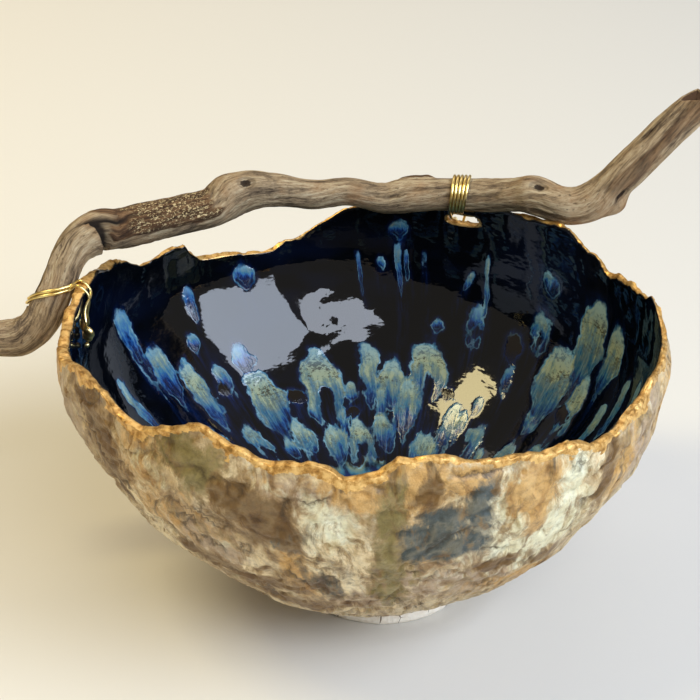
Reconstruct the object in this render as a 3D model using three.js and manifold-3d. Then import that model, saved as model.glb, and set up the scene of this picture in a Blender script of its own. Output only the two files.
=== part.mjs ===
// A hand-built stoneware bowl with a torn, gilded rim, and a driftwood branch tied across its back
// with brass wire. Millimetres, +Z up; the origin is on the table under the middle of the foot.
// Azimuths are in degrees about the bowl's axis: 0 is +X, the right side, and 90 is +Y, the back.
import * as THREE from 'three';
import { mergeVertices } from 'three/addons/utils/BufferGeometryUtils.js';
import Module from 'manifold-3d';

const wasm = await Module();
wasm.setup();

// Bowl: driving dimensions
const RIM_RADIUS = 122; // outside, where the wall reaches the torn edge
const RIM_HEIGHT = 119; // mean height of the torn edge
const RIM_OFFSET = -7.5; // the body leans this far along X off its foot
const LEAN_TOP = 100; // height above which it stands straight
const WALL_AT_RIM = 5.2;
const FLOOR_TOP = 7.5; // inside, over the foot
const BODY_BOTTOM = -4; // where the outer curve would meet the axis, inside the foot
const BODY_BELLY = 2.25; // fullness of the curve towards the foot
const BODY_FLARE = 1.25; // how soon the curve turns up into the wall
const FOOT_RADIUS = 32.5;
const FOOT_HEIGHT = 6;
const FOOT_ROUND = 1.6;
const LIP = 1.3; // the torn edge is rounded over this much
const BARK_DEPTH = 1.5; // folds and flakes pressed into the outside
const FOLD_CELL = [15, 17]; // size of a fold, in degrees round the wall and in height
const FLAKE_CELL = [7.5, 11];
const FLAT_SIDE = 5.5; // the wall is pressed flatter by this much at the front right
const FLAT_AZIMUTH = -38;
const FLAT_SPREAD = 75; // degrees to each side

// The torn edge: azimuth and height of each peak, dip and shoulder, smoothly joined
const RIM_EDGE = [
  [0, 120.5], [8, 124.5], [13, 121], [24, 119.5], [31, 118.8], [35, 121.5], [38, 126], [42, 131],
  [50, 129.2], [62, 129.2], [65, 126.5], [74, 126.3], [77, 128], [83, 126.5], [92.5, 124.2],
  [96, 121], [100, 116.4], [104, 110.8], [108, 108.6], [112, 105.2], [116, 106.6], [120, 109.5],
  [130, 110.6], [133, 117.6], [145, 118], [150, 122.5], [157, 124], [163, 127], [169, 125.6],
  [175, 123.5], [183, 121.2], [191, 119.4], [197, 120.4], [204, 124], [215, 126], [221, 121],
  [228, 119.1], [233, 122], [240, 126.4], [247, 123.2], [254, 117.9], [262, 121.8], [267, 116.2],
  [272, 118], [275, 123], [279, 121], [287, 118.3], [294, 117.2], [297, 118.8], [305, 114.4],
  [309, 116.6], [312, 115.6], [317, 108.8], [321, 108.6], [326, 113.6], [331, 115.2], [337, 119],
  [350, 119.2],
];

// The slot torn through the wall under the back rim, and the small hole behind the nugget
const SLOT_AZIMUTH = 68.6;
const SLOT_WIDTH = 15.5;
const SLOT_HEIGHT = 4.6;
const SLOT_MIDDLE = 122.2; // height of its middle
const TIE_HOLE_AZIMUTH = 171;
const TIE_HOLE_HEIGHT = 109.5;
const TIE_HOLE_WIDTH = 6.8;
const TIE_HOLE_TALL = 5.4;

// Branch: middle of the wood at each bend, and its radius there
const BRANCH_ROUTE = [
  [-168.5, 20, 105.5, 6.1], [-159.1, 22.5, 103.5, 7.1], [-149.6, 25, 103.3, 7.6],
  [-142.1, 27.5, 108.6, 7.2], [-137.8, 30, 116.6, 7.2], [-134.1, 33.5, 124.1, 6.9],
  [-131.1, 38, 131.6, 7.1], [-126.6, 44, 137.2, 7.8], [-119.6, 50, 140.2, 8.5],
  [-111.6, 56, 138.5, 8.3], [-98.8, 63, 139.1, 8.2], [-84.5, 70, 140.1, 8.2],
  [-73.4, 76, 141.0, 8.3], [-65.1, 81, 143.7, 8.7], [-57.6, 85, 145.1, 8.3],
  [-48.4, 90, 143.3, 7.3], [-31.3, 97, 138.6, 6.7], [-15.6, 102, 138.4, 5.8],
  [-0.2, 105, 134.2, 6.3], [10.0, 106, 134.8, 7.2], [24.9, 105.5, 135.9, 7.1],
  [34.2, 105, 136.1, 6.8], [43.3, 103.5, 136.4, 6.9], [57.5, 99, 138.1, 7.2],
  [66.0, 95.5, 139.1, 8.4], [73.2, 92.5, 137.5, 8.0], [82.7, 90.5, 136.5, 8.2],
  [92.0, 90, 140.0, 8.4], [101.1, 90.5, 148.6, 7.7], [112.3, 92.5, 159.8, 7.4],
  [123.5, 95, 170.8, 7.0], [133.0, 97, 179.1, 6.8], [138.0, 98, 183.3, 7.8],
];
const BRANCH_STEPS = 80;
const BRANCH_SIDES = 12;
const BRANCH_KNOTS = 0.35; // unevenness of the worn wood

// Wire
const WIRE_RADIUS = 0.65;
const WIRE_SIDES = 6;
const CLEARANCE = 0.35; // air between touching pieces
const WRAP_SLACK = 0.25; // the wire's straight steps stay off the round wood
const WRAP_X = 33.6; // where the branch is wound
const WRAP_TURNS = 4.875;
const WRAP_PITCH = 1.5;
const WRAP_FAN = 0.12;
const WRAP_LEAN = 1;
const TIE_LOW_X = -139.6; // where the tie passes the left of the branch
const TIE_HIGH_X = -134.6; // and where it leaves the front for the rim
const TIE_SPACING = 1.9; // between its two passes, along the wood
const TIE_RIM_AZIMUTHS = [167.4, 169.6];
const RIM_HOP = 1.3; // the stiff wire bows up off the torn edge
const TIE_STEPS = 104;

// Nugget hanging inside the wall on the tie, and the small bead under it
const NUGGET_RADIUS = 2.6;
const NUGGET_TALL = 1.3;
const NUGGET_LUMP = 0.2;
const NUGGET_AZIMUTH = 174;
const NUGGET_HEIGHT = 110.5;
const BEAD_RADIUS = 1.25;
const BEAD_HEIGHT = 105.4;

// Colours
const GLAZE = 0x1a2740;
const DRIFTWOOD = 0x9a8770;
const BRASS = 0xc9a13b;

const BOWL_SEGMENTS = 120;
const OUTER_ROWS = 9;
const INNER_ROWS = 8;

const radians = THREE.MathUtils.degToRad;
const degrees = THREE.MathUtils.radToDeg;

/** Smooth blend from 0 to 1. */
const ease = (t) => t * t * (3 - 2 * t);

/** A repeatable number from 0 to 1 for each whole-number cell. */
function cellNoise(i, j, k = 0) {
  const s = Math.sin(i * 127.1 + j * 311.7 + k * 74.7) * 43758.5453;
  return s - Math.floor(s);
}

/** Smooth noise from -1 to 1 over a grid that closes on itself after `around` cells of u. */
function wrappedNoise(u, v, around, layer) {
  const i = Math.floor(u);
  const j = Math.floor(v);
  const fu = ease(u - i);
  const fv = ease(v - j);
  const at = (a, b) => cellNoise(((a % around) + around) % around, b, layer);
  const low = THREE.MathUtils.lerp(at(i, j), at(i + 1, j), fu);
  const high = THREE.MathUtils.lerp(at(i, j + 1), at(i + 1, j + 1), fu);
  return 2 * THREE.MathUtils.lerp(low, high, fv) - 1;
}

/** Height of the torn edge at an azimuth in degrees. */
function rimHeight(azimuth) {
  const a = THREE.MathUtils.euclideanModulo(azimuth, 360);
  const next = RIM_EDGE.findIndex(([angle]) => angle > a);
  const [a1, h1] = next < 0 ? [360, RIM_EDGE[0][1]] : RIM_EDGE[next];
  const [a0, h0] = RIM_EDGE[next < 0 ? RIM_EDGE.length - 1 : next - 1];
  return THREE.MathUtils.lerp(h0, h1, ease((a - a0) / (a1 - a0)));
}

/** Radius at a height of a curve that leaves the axis at `bottom` and reaches `radius` at the rim. */
function curveRadius(height, bottom, radius) {
  const rise = THREE.MathUtils.clamp((height - bottom) / (RIM_HEIGHT - bottom), 0, 1);
  return radius * (1 - (1 - rise) ** BODY_BELLY) ** (1 / BODY_FLARE);
}

const outerRadius = (height) => curveRadius(height, BODY_BOTTOM, RIM_RADIUS);
const innerRadius = (height) => curveRadius(height, FLOOR_TOP, RIM_RADIUS - WALL_AT_RIM);

/** How far the body's axis has leaned off the foot at a height. */
const leanAt = (height) => RIM_OFFSET * THREE.MathUtils.clamp(height / LEAN_TOP, 0, 1) ** 2;

/** How much the wall is pressed in at an azimuth and height. */
function flatness(azimuth, height) {
  const away = THREE.MathUtils.euclideanModulo(azimuth - FLAT_AZIMUTH + 180, 360) - 180;
  const side = 1 - THREE.MathUtils.smoothstep(Math.abs(away), 0, FLAT_SPREAD);
  const rise = THREE.MathUtils.clamp(height / RIM_HEIGHT, 0, 1);
  return FLAT_SIDE * side * Math.sin(Math.PI * rise ** 0.8);
}

/** A point at an azimuth and height, `radius` from the body's leaning axis. */
function bowlPoint(azimuth, radius, height) {
  const a = radians(azimuth);
  return new THREE.Vector3(leanAt(height) + radius * Math.cos(a), radius * Math.sin(a), height);
}

/** Depth of the bark-like folds on the outside, nothing at the foot and fullest at mid wall. */
function barkDepth(azimuth, height) {
  const folds = wrappedNoise(azimuth / FOLD_CELL[0], height / FOLD_CELL[1], 360 / FOLD_CELL[0], 1);
  const flakes = wrappedNoise(azimuth / FLAKE_CELL[0], height / FLAKE_CELL[1], 360 / FLAKE_CELL[0], 2);
  const fade = THREE.MathUtils.smoothstep(height, FOOT_HEIGHT, 4 * FOOT_HEIGHT);
  return BARK_DEPTH * fade * (0.65 * folds + 0.35 * flakes);
}

/** A closed geometry with its shared vertices merged and its collapsed triangles removed. */
function weld(geometry) {
  geometry.deleteAttribute('normal');
  geometry.deleteAttribute('uv');
  const merged = mergeVertices(geometry, 1e-4);
  const index = merged.index.array;
  const kept = [];
  for (let i = 0; i < index.length; i += 3) {
    const [a, b, c] = [index[i], index[i + 1], index[i + 2]];
    if (a !== b && b !== c && c !== a) kept.push(a, b, c);
  }
  merged.setIndex(kept);
  return merged;
}

/** The manifold solid of a closed geometry. */
function solid(geometry) {
  const welded = weld(geometry);
  return new wasm.Manifold(new wasm.Mesh({
    numProp: 3,
    vertProperties: Float32Array.from(welded.attributes.position.array),
    triVerts: Uint32Array.from(welded.index.array),
  }));
}

/** The geometry of a manifold solid. */
function geometryOf(manifold) {
  const { vertProperties, triVerts } = manifold.getMesh();
  const geometry = new THREE.BufferGeometry();
  geometry.setAttribute('position', new THREE.BufferAttribute(vertProperties, 3));
  geometry.setIndex(new THREE.BufferAttribute(triVerts, 1));
  return geometry;
}

/** One row of the bowl's lathe: a place on the foot, the outside, the torn edge or the inside. */
function bowlRows() {
  const rows = [{ radius: 0, height: 0 }];
  rows.push({ radius: FOOT_RADIUS - FOOT_ROUND, height: 0 });
  rows.push({ radius: FOOT_RADIUS, height: FOOT_ROUND });
  rows.push({ radius: FOOT_RADIUS - 0.6, height: FOOT_HEIGHT });
  for (let i = 1; i <= OUTER_ROWS; i += 1) {
    rows.push({ side: 'outside', rise: (i / OUTER_ROWS) ** 1.25 });
  }
  rows.push({ side: 'edge', rise: 1 });
  for (let i = INNER_ROWS; i >= 1; i -= 1) {
    rows.push({ side: 'inside', rise: (i / INNER_ROWS) ** 1.6 });
  }
  rows.push({ radius: 0, height: FLOOR_TOP });
  return rows;
}

/** Where a row of the lathe lies at an azimuth. */
function placeOnBowl(row, azimuth) {
  if (row.side === undefined) return bowlPoint(azimuth, row.radius, row.height);
  const top = rimHeight(azimuth);
  if (row.side === 'edge') {
    return bowlPoint(azimuth, RIM_RADIUS - WALL_AT_RIM / 2, top);
  }
  const bottom = row.side === 'outside' ? FOOT_HEIGHT : FLOOR_TOP;
  const height = THREE.MathUtils.lerp(bottom, top - LIP, row.rise);
  const radius = row.side === 'outside'
    ? outerRadius(height) + barkDepth(azimuth, height)
    : innerRadius(height);
  return bowlPoint(azimuth, radius - flatness(azimuth, height), height);
}

/** The fired body: foot, wall and torn edge, from a lathe whose vertices are moved into place. */
function bowlBody() {
  const rows = bowlRows();
  const profile = rows.map((row, i) => new THREE.Vector2(row.radius === 0 ? 0 : 1, i));
  const lathe = new THREE.LatheGeometry(profile, BOWL_SEGMENTS);
  const position = lathe.attributes.position;
  for (let i = 0; i < position.count; i += 1) {
    const turn = Math.floor(i / rows.length) % BOWL_SEGMENTS;
    const place = placeOnBowl(rows[i % rows.length], (turn * 360) / BOWL_SEGMENTS);
    position.setXYZ(i, place.x, place.y, place.z);
  }
  return lathe;
}

/** A cutter through the wall: an outline across the wall, drawn out along the radius. */
function wallCutter(outline, azimuth, height) {
  const reach = 6 * WALL_AT_RIM;
  const cutter = new THREE.ExtrudeGeometry(outline, { depth: reach, bevelEnabled: false });
  cutter.translate(0, 0, -reach / 2);
  const out = bowlPoint(azimuth, 1, height).sub(bowlPoint(azimuth, 0, height));
  const up = new THREE.Vector3(0, 0, 1);
  const across = new THREE.Vector3().crossVectors(up, out);
  cutter.applyMatrix4(new THREE.Matrix4().makeBasis(across, up, out));
  const middle = bowlPoint(azimuth, RIM_RADIUS - WALL_AT_RIM / 2, height);
  cutter.translate(middle.x, middle.y, middle.z);
  return cutter;
}

/** The slot's outline: two lobes with a torn, slightly raised lower lip between them. */
function slotOutline() {
  const outline = new THREE.Shape();
  const w = SLOT_WIDTH / 2;
  const h = SLOT_HEIGHT / 2;
  outline.moveTo(-w, 0);
  outline.bezierCurveTo(-w, -h, -0.75 * w, -1.2 * h, -0.35 * w, -0.75 * h);
  outline.bezierCurveTo(0, -0.4 * h, 0.1 * w, -0.9 * h, 0.5 * w, -1.05 * h);
  outline.bezierCurveTo(0.85 * w, -1.1 * h, w, -0.6 * h, w, 0);
  outline.bezierCurveTo(0.95 * w, 0.7 * h, 0.5 * w, h, 0, h);
  outline.bezierCurveTo(-0.5 * w, h, -0.95 * w, 0.8 * h, -w, 0);
  return new THREE.Shape(outline.getPoints(4).slice(0, -1));
}

/** An oval outline. */
function ovalOutline(width, height, sides) {
  const points = [];
  for (let i = 0; i < sides; i += 1) {
    const a = (i / sides) * 2 * Math.PI;
    points.push(new THREE.Vector2((width / 2) * Math.cos(a), (height / 2) * Math.sin(a)));
  }
  return new THREE.Shape(points);
}

function bowl() {
  const slot = wallCutter(slotOutline(), SLOT_AZIMUTH, SLOT_MIDDLE);
  const tieHole = ovalOutline(TIE_HOLE_WIDTH, TIE_HOLE_TALL, 10);
  const hole = wallCutter(tieHole, TIE_HOLE_AZIMUTH, TIE_HOLE_HEIGHT);
  return geometryOf(solid(bowlBody()).subtract(solid(slot)).subtract(solid(hole)));
}

/** The line along the middle of the branch. */
const branchLine = new THREE.CatmullRomCurve3(
  BRANCH_ROUTE.map(([x, y, z]) => new THREE.Vector3(x, y, z)), false, 'centripetal',
);

/** Radius of the branch at a fraction of its route's points. */
function branchRadius(along) {
  const place = along * (BRANCH_ROUTE.length - 1);
  const i = Math.min(Math.floor(place), BRANCH_ROUTE.length - 2);
  return THREE.MathUtils.lerp(BRANCH_ROUTE[i][3], BRANCH_ROUTE[i + 1][3], ease(place - i));
}

/** Fraction of the branch's route, by its points, where it passes `x`. */
function branchAtX(x) {
  let low = 0;
  let high = 1;
  for (let i = 0; i < 40; i += 1) {
    const middle = (low + high) / 2;
    if (branchLine.getPoint(middle).x < x) low = middle;
    else high = middle;
  }
  return low;
}

/** A branch drawn as a thin tube along its line and then swelled to its real radius. */
function branch() {
  const thin = 0.5;
  const tube = new THREE.ExtrudeGeometry(ovalOutline(2 * thin, 2 * thin, BRANCH_SIDES), {
    steps: BRANCH_STEPS, extrudePath: branchLine,
  });
  const centres = [];
  for (let i = 0; i <= BRANCH_STEPS; i += 1) {
    const along = branchLine.getUtoTmapping(i / BRANCH_STEPS);
    centres.push({ at: branchLine.getPoint(along), radius: branchRadius(along), i });
  }
  const position = tube.attributes.position;
  const vertex = new THREE.Vector3();
  for (let i = 0; i < position.count; i += 1) {
    vertex.fromBufferAttribute(position, i);
    const ring = centres.reduce((best, centre) => (
      centre.at.distanceTo(vertex) < best.at.distanceTo(vertex) ? centre : best));
    const out = vertex.clone().sub(ring.at).normalize();
    const around = degrees(Math.atan2(out.z, out.y)) / 45;
    const worn = BRANCH_KNOTS * wrappedNoise(around, ring.i / 3, 8, 3);
    vertex.copy(ring.at).addScaledVector(out, ring.radius + worn);
    position.setXYZ(i, vertex.x, vertex.y, vertex.z);
  }
  return weld(tube);
}

/** A round wire along a list of points, its ends closed flat. */
function wire(points, steps) {
  const line = new THREE.CatmullRomCurve3(points, false, 'centripetal');
  const section = ovalOutline(2 * WIRE_RADIUS, 2 * WIRE_RADIUS, WIRE_SIDES);
  return weld(new THREE.ExtrudeGeometry(section, { steps, extrudePath: line }));
}

/**
 * Middle of a wire lying on the branch where the branch passes `x`, moved `slide` along the wood.
 * The turn about the branch is in degrees: 90 faces the front, and 0 faces up where the branch is
 * level, or left where it stands upright.
 */
function onBranch(x, slide, turn) {
  const along = branchAtX(x);
  const axis = branchLine.getTangent(along);
  const middle = branchLine.getPoint(along).addScaledVector(axis, slide);
  const front = new THREE.Vector3(0, -1, 0).addScaledVector(axis, axis.y).normalize();
  const up = new THREE.Vector3().crossVectors(front, axis);
  const reach = branchRadius(along) + BRANCH_KNOTS + CLEARANCE + WIRE_RADIUS + WRAP_SLACK;
  const a = radians(turn);
  return middle.addScaledVector(up, reach * Math.cos(a)).addScaledVector(front, reach * Math.sin(a));
}

/** Middle of a wire lying against the wall's inside. */
const insideWall = (azimuth, height, off = 0) => bowlPoint(
  azimuth, innerRadius(height) - CLEARANCE - WIRE_RADIUS - off, height,
);

/** Middle of a wire lying against the wall's outside, clear of its folds. */
const outsideWall = (azimuth, height, off = 0) => bowlPoint(
  azimuth, outerRadius(height) + BARK_DEPTH + CLEARANCE + WIRE_RADIUS + off, height,
);

/** Middle of a wire passing through the wall. */
const throughWall = (azimuth, height) => bowlPoint(azimuth, RIM_RADIUS - WALL_AT_RIM / 2, height);

/** The wire wound round the branch over the slot, both ends taken out through the slot. */
function wrapWire() {
  const pointsPerTurn = 12;
  const stepsPerTurn = 14;
  const firstTurn = 165; // low on the front of the branch, over the slot
  const coil = [];
  for (let i = 0; i <= WRAP_TURNS * pointsPerTurn; i += 1) {
    const turned = i / pointsPerTurn;
    const angle = firstTurn - 360 * turned;
    const fan = 1 + WRAP_FAN * Math.cos(radians(angle)); // the turns spread over the top
    const lean = WRAP_LEAN * Math.cos(radians(angle));
    coil.push(onBranch(WRAP_X, WRAP_PITCH * fan * (turned - WRAP_TURNS / 2) + lean, angle));
  }
  const start = [
    outsideWall(SLOT_AZIMUTH + 2.6, SLOT_MIDDLE - 9),
    outsideWall(SLOT_AZIMUTH + 2.4, SLOT_MIDDLE - 3),
    throughWall(SLOT_AZIMUTH + 2.2, SLOT_MIDDLE - 0.3),
    insideWall(SLOT_AZIMUTH + 2.1, SLOT_MIDDLE + 0.8, 0.6),
  ];
  const end = [
    outsideWall(SLOT_AZIMUTH - 0.4, SLOT_MIDDLE + 6),
    outsideWall(SLOT_AZIMUTH + 0.6, SLOT_MIDDLE),
    outsideWall(SLOT_AZIMUTH + 1.3, SLOT_MIDDLE - 8),
  ];
  return wire([...start, ...coil, ...end], Math.round(WRAP_TURNS * stepsPerTurn) + 16);
}

/** One pass of the tie from the rim across the front of the branch, behind it and down outside. */
function tiePass(slide, rimAzimuth, holeAzimuth) {
  const top = rimHeight(rimAzimuth) + CLEARANCE + WIRE_RADIUS;
  const pass = [bowlPoint(rimAzimuth, RIM_RADIUS - WALL_AT_RIM / 2, top + RIM_HOP)];
  for (let turn = 125; turn >= -165; turn -= 29) {
    const across = THREE.MathUtils.clamp(turn / 125, 0, 1);
    const x = THREE.MathUtils.lerp(TIE_LOW_X, TIE_HIGH_X, across);
    pass.push(onBranch(x, slide, turn));
  }
  pass.push(outsideWall(holeAzimuth - 1, TIE_HOLE_HEIGHT + 0.6, 0.6));
  pass.push(throughWall(holeAzimuth, TIE_HOLE_HEIGHT));
  return pass;
}

/** The tie at the left: from the nugget over the rim, twice round the branch and through the wall. */
function tieWire() {
  const nuggetTop = NUGGET_HEIGHT + NUGGET_RADIUS * NUGGET_TALL + CLEARANCE + 0.2;
  const first = [
    insideWall(NUGGET_AZIMUTH - 0.5, nuggetTop, 1.6),
    insideWall(NUGGET_AZIMUTH - 2, nuggetTop + 5, 0.6),
    insideWall(TIE_RIM_AZIMUTHS[0] + 0.6, rimHeight(TIE_RIM_AZIMUTHS[0]) - 2, 1),
  ];
  const second = [
    insideWall(TIE_HOLE_AZIMUTH - 0.9, TIE_HOLE_HEIGHT + 1.5, 0.3),
    insideWall(TIE_HOLE_AZIMUTH - 0.6, TIE_HOLE_HEIGHT + 6, 0.3),
    insideWall(TIE_RIM_AZIMUTHS[1], rimHeight(TIE_RIM_AZIMUTHS[1]) - 2, 1),
  ];
  const end = [
    insideWall(TIE_HOLE_AZIMUTH + 0.9, TIE_HOLE_HEIGHT + 1.5, 0.3),
    insideWall(TIE_HOLE_AZIMUTH + 0.4, TIE_HOLE_HEIGHT + 5, 0.3),
  ];
  return wire([
    ...first,
    ...tiePass(TIE_SPACING, TIE_RIM_AZIMUTHS[0], TIE_HOLE_AZIMUTH - 0.9),
    ...second,
    ...tiePass(0, TIE_RIM_AZIMUTHS[1], TIE_HOLE_AZIMUTH + 0.9),
    ...end,
  ], TIE_STEPS);
}

/** A lump of metal: a ball whose surface swells and dips, stretched upright. */
function lump(radius, tall, azimuth, height, detail) {
  const ball = new THREE.IcosahedronGeometry(radius, detail);
  const position = ball.attributes.position;
  const vertex = new THREE.Vector3();
  for (let i = 0; i < position.count; i += 1) {
    vertex.fromBufferAttribute(position, i);
    const around = degrees(Math.atan2(vertex.y, vertex.x)) / 60;
    const swell = 1 - NUGGET_LUMP * Math.abs(wrappedNoise(around, vertex.z / (0.6 * radius), 6, 4));
    position.setXYZ(i, vertex.x * swell, vertex.y * swell, vertex.z * swell * tall);
  }
  const off = innerRadius(height) - 2 * CLEARANCE - radius;
  const middle = bowlPoint(azimuth, off, height);
  ball.translate(middle.x, middle.y, middle.z);
  return weld(ball);
}

const group = new THREE.Group();

/** Adds one piece to the group under its name. */
function addPiece(name, geometry, colour, roughness, metalness) {
  const material = new THREE.MeshStandardMaterial({ color: colour, roughness, metalness });
  const mesh = new THREE.Mesh(geometry, material);
  mesh.name = name;
  group.add(mesh);
}

addPiece('bowl', bowl(), GLAZE, 0.15, 0);
addPiece('driftwood_branch', branch(), DRIFTWOOD, 0.85, 0);
addPiece('wrap_wire', wrapWire(), BRASS, 0.25, 1);
addPiece('tie_wire', tieWire(), BRASS, 0.25, 1);
const nugget = lump(NUGGET_RADIUS, NUGGET_TALL, NUGGET_AZIMUTH, NUGGET_HEIGHT, 2);
addPiece('gold_nugget', nugget, BRASS, 0.3, 1);
addPiece('gold_bead', lump(BEAD_RADIUS, 1, NUGGET_AZIMUTH, BEAD_HEIGHT, 1), BRASS, 0.3, 1);

export default group;
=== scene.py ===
"""A hand-built stoneware bowl with a torn, gilded rim, and a driftwood branch wired across its back.

Sizes are in millimetres and are turned to metres as each mesh is finished. Azimuths are in degrees
about the bowl's upright axis: 0 is the right side, +X, and 90 is the back, +Y.
"""

import logging
import math
from collections.abc import Callable
from dataclasses import dataclass
from enum import Enum
from functools import partial

import bmesh
import bpy
import numpy as np
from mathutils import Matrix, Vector


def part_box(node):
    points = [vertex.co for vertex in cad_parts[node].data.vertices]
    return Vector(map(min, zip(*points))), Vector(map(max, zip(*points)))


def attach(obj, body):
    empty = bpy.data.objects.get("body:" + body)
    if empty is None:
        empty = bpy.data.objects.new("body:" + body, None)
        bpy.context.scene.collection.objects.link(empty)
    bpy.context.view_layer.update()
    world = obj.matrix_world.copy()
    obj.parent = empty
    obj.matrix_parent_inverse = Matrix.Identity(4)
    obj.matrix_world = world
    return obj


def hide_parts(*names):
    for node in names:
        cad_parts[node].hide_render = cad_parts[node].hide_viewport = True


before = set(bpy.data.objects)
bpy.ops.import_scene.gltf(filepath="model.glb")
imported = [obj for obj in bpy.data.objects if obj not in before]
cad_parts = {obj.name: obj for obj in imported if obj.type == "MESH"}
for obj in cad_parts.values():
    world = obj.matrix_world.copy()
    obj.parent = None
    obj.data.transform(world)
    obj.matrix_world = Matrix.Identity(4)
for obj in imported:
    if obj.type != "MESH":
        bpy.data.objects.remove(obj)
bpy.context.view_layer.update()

logging.basicConfig(level=logging.INFO, format="%(message)s")
log = logging.getLogger("bowl")

MM = 0.001
SEED = 7


def linear(colour: str) -> tuple[float, float, float, float]:
    """Turn an sRGB hex colour to the linear colour that a shader takes.

    Args:
        colour: Six hex digits, with or without a leading hash.

    Returns:
        Linear red, green, blue and an alpha of one.
    """
    digits = colour.lstrip("#")
    parts = [int(digits[i:i + 2], 16) / 255 for i in (0, 2, 4)]
    line = [p / 12.92 if p <= 0.04045 else ((p + 0.055) / 1.055) ** 2.4 for p in parts]
    return (*line, 1.0)


def ease(value: np.ndarray, low: float, high: float) -> np.ndarray:
    """Blend smoothly from 0 at low to 1 at high.

    Args:
        value: Numbers to blend.
        low: Value that gives 0. It may be the larger one.
        high: Value that gives 1.

    Returns:
        The blend at each number.
    """
    t = np.clip((value - low) / (high - low), 0, 1)
    return t * t * (3 - 2 * t)


def noise(points: np.ndarray, seed: int = 0) -> np.ndarray:
    """Smooth noise from -1 to 1 with one cell for each unit.

    Args:
        points: An N x 3 array.
        seed: Picks another pattern.

    Returns:
        One number for each point.
    """
    cell = np.floor(points).astype(np.int64)
    part = points - cell
    part = part * part * (3 - 2 * part)

    def corner(dx: int, dy: int, dz: int) -> np.ndarray:
        """Random number at one corner of each cell."""
        mixed = ((cell[:, 0] + dx) * 73856093) ^ ((cell[:, 1] + dy) * 19349663)
        mixed ^= ((cell[:, 2] + dz) * 83492791) ^ (seed * 2654435761)
        mixed = (mixed ^ (mixed >> 13)) * 1274126177
        return ((mixed ^ (mixed >> 16)) & 0xFFFF) / 32767.5 - 1

    def along(a: np.ndarray, b: np.ndarray, axis: int) -> np.ndarray:
        """Blend between two corners along an axis."""
        return a + (b - a) * part[:, axis]

    low = along(along(corner(0, 0, 0), corner(1, 0, 0), 0), along(corner(0, 1, 0), corner(1, 1, 0), 0), 1)
    high = along(along(corner(0, 0, 1), corner(1, 0, 1), 0), along(corner(0, 1, 1), corner(1, 1, 1), 0), 1)
    return along(low, high, 2)


def layered_noise(points: np.ndarray, layers: int, seed: int = 0) -> np.ndarray:
    """Noise with finer and weaker layers added, from about -1 to 1.

    Args:
        points: An N x 3 array.
        layers: How many layers, each twice as fine as the one before.
        seed: Picks another pattern.

    Returns:
        One number for each point.
    """
    total = np.zeros(len(points))
    for i in range(layers):
        total += noise(points * 2.0 ** i + 17.3 * i, seed + i) * 0.5 ** i
    return total / (2 - 0.5 ** (layers - 1))


def turned(azimuth: np.ndarray, middle: float) -> np.ndarray:
    """Angle from a middle azimuth, from -180 to 180 degrees."""
    return (azimuth - middle + 180) % 360 - 180


def on_drum(azimuth: np.ndarray, radius: np.ndarray | float, height: np.ndarray | float) -> np.ndarray:
    """Points round the upright axis.

    Args:
        azimuth: Azimuth of each point in degrees.
        radius: Its distance from the axis.
        height: Its height.

    Returns:
        An N x 3 array.
    """
    turn = np.radians(azimuth)
    return np.stack(np.broadcast_arrays(radius * np.cos(turn), radius * np.sin(turn), height), axis=1)


def add_node(tree: bpy.types.NodeTree, kind: str, *feeds, out: str | None = None,
             stops: list | None = None, **named) -> bpy.types.NodeSocket | None:
    """Add a shader node with its settings, values and links.

    Args:
        tree: The material's or world's node tree.
        kind: The node's type without the word ShaderNode, then a dot and its operation if it has one.
        *feeds: What goes into its inputs in order: a socket, a number, a vector or a hex colour.
        out: Name of the output to hand back, where it isn't the first one in use.
        stops: A colour ramp's places, each with a hex colour or a grey from 0 to 1.
        **named: Other inputs, with a capital, and the node's own settings, without one.

    Returns:
        The node's output, or None where it has none.
    """
    kind, _, mode = kind.partition(".")
    node = tree.nodes.new("ShaderNode" + kind)
    if mode:
        setattr(node, "data_type" if kind == "Mix" else "operation", mode)
    for name in [name for name in named if name[0].islower()]:
        setattr(node, name, named.pop(name))
    if stops:
        ramp = node.color_ramp.elements
        while len(ramp) < len(stops):
            ramp.new(1.0)
        for element, (place, colour) in zip(ramp, stops):
            element.position = place
            element.color = linear(colour) if isinstance(colour, str) else (colour, colour, colour, 1)
    fed = list(zip([socket for socket in node.inputs if socket.enabled], feeds))
    fed += [(node.inputs[name.replace("_", " ")], value) for name, value in named.items()]
    for socket, value in fed:
        if isinstance(value, bpy.types.NodeSocket):
            tree.links.new(value, socket)
        else:
            socket.default_value = linear(value) if isinstance(value, str) else value
    return node.outputs[out] if out else next((s for s in node.outputs if s.enabled), None)


def new_material(name: str) -> tuple[bpy.types.Material, Callable]:
    """Make a material with an empty node tree.

    Args:
        name: What the real material is.

    Returns:
        The material, and add_node for its own tree.
    """
    material = bpy.data.materials.new(name)
    material.use_nodes = True
    material.node_tree.nodes.clear()
    return material, partial(add_node, material.node_tree)


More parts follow.
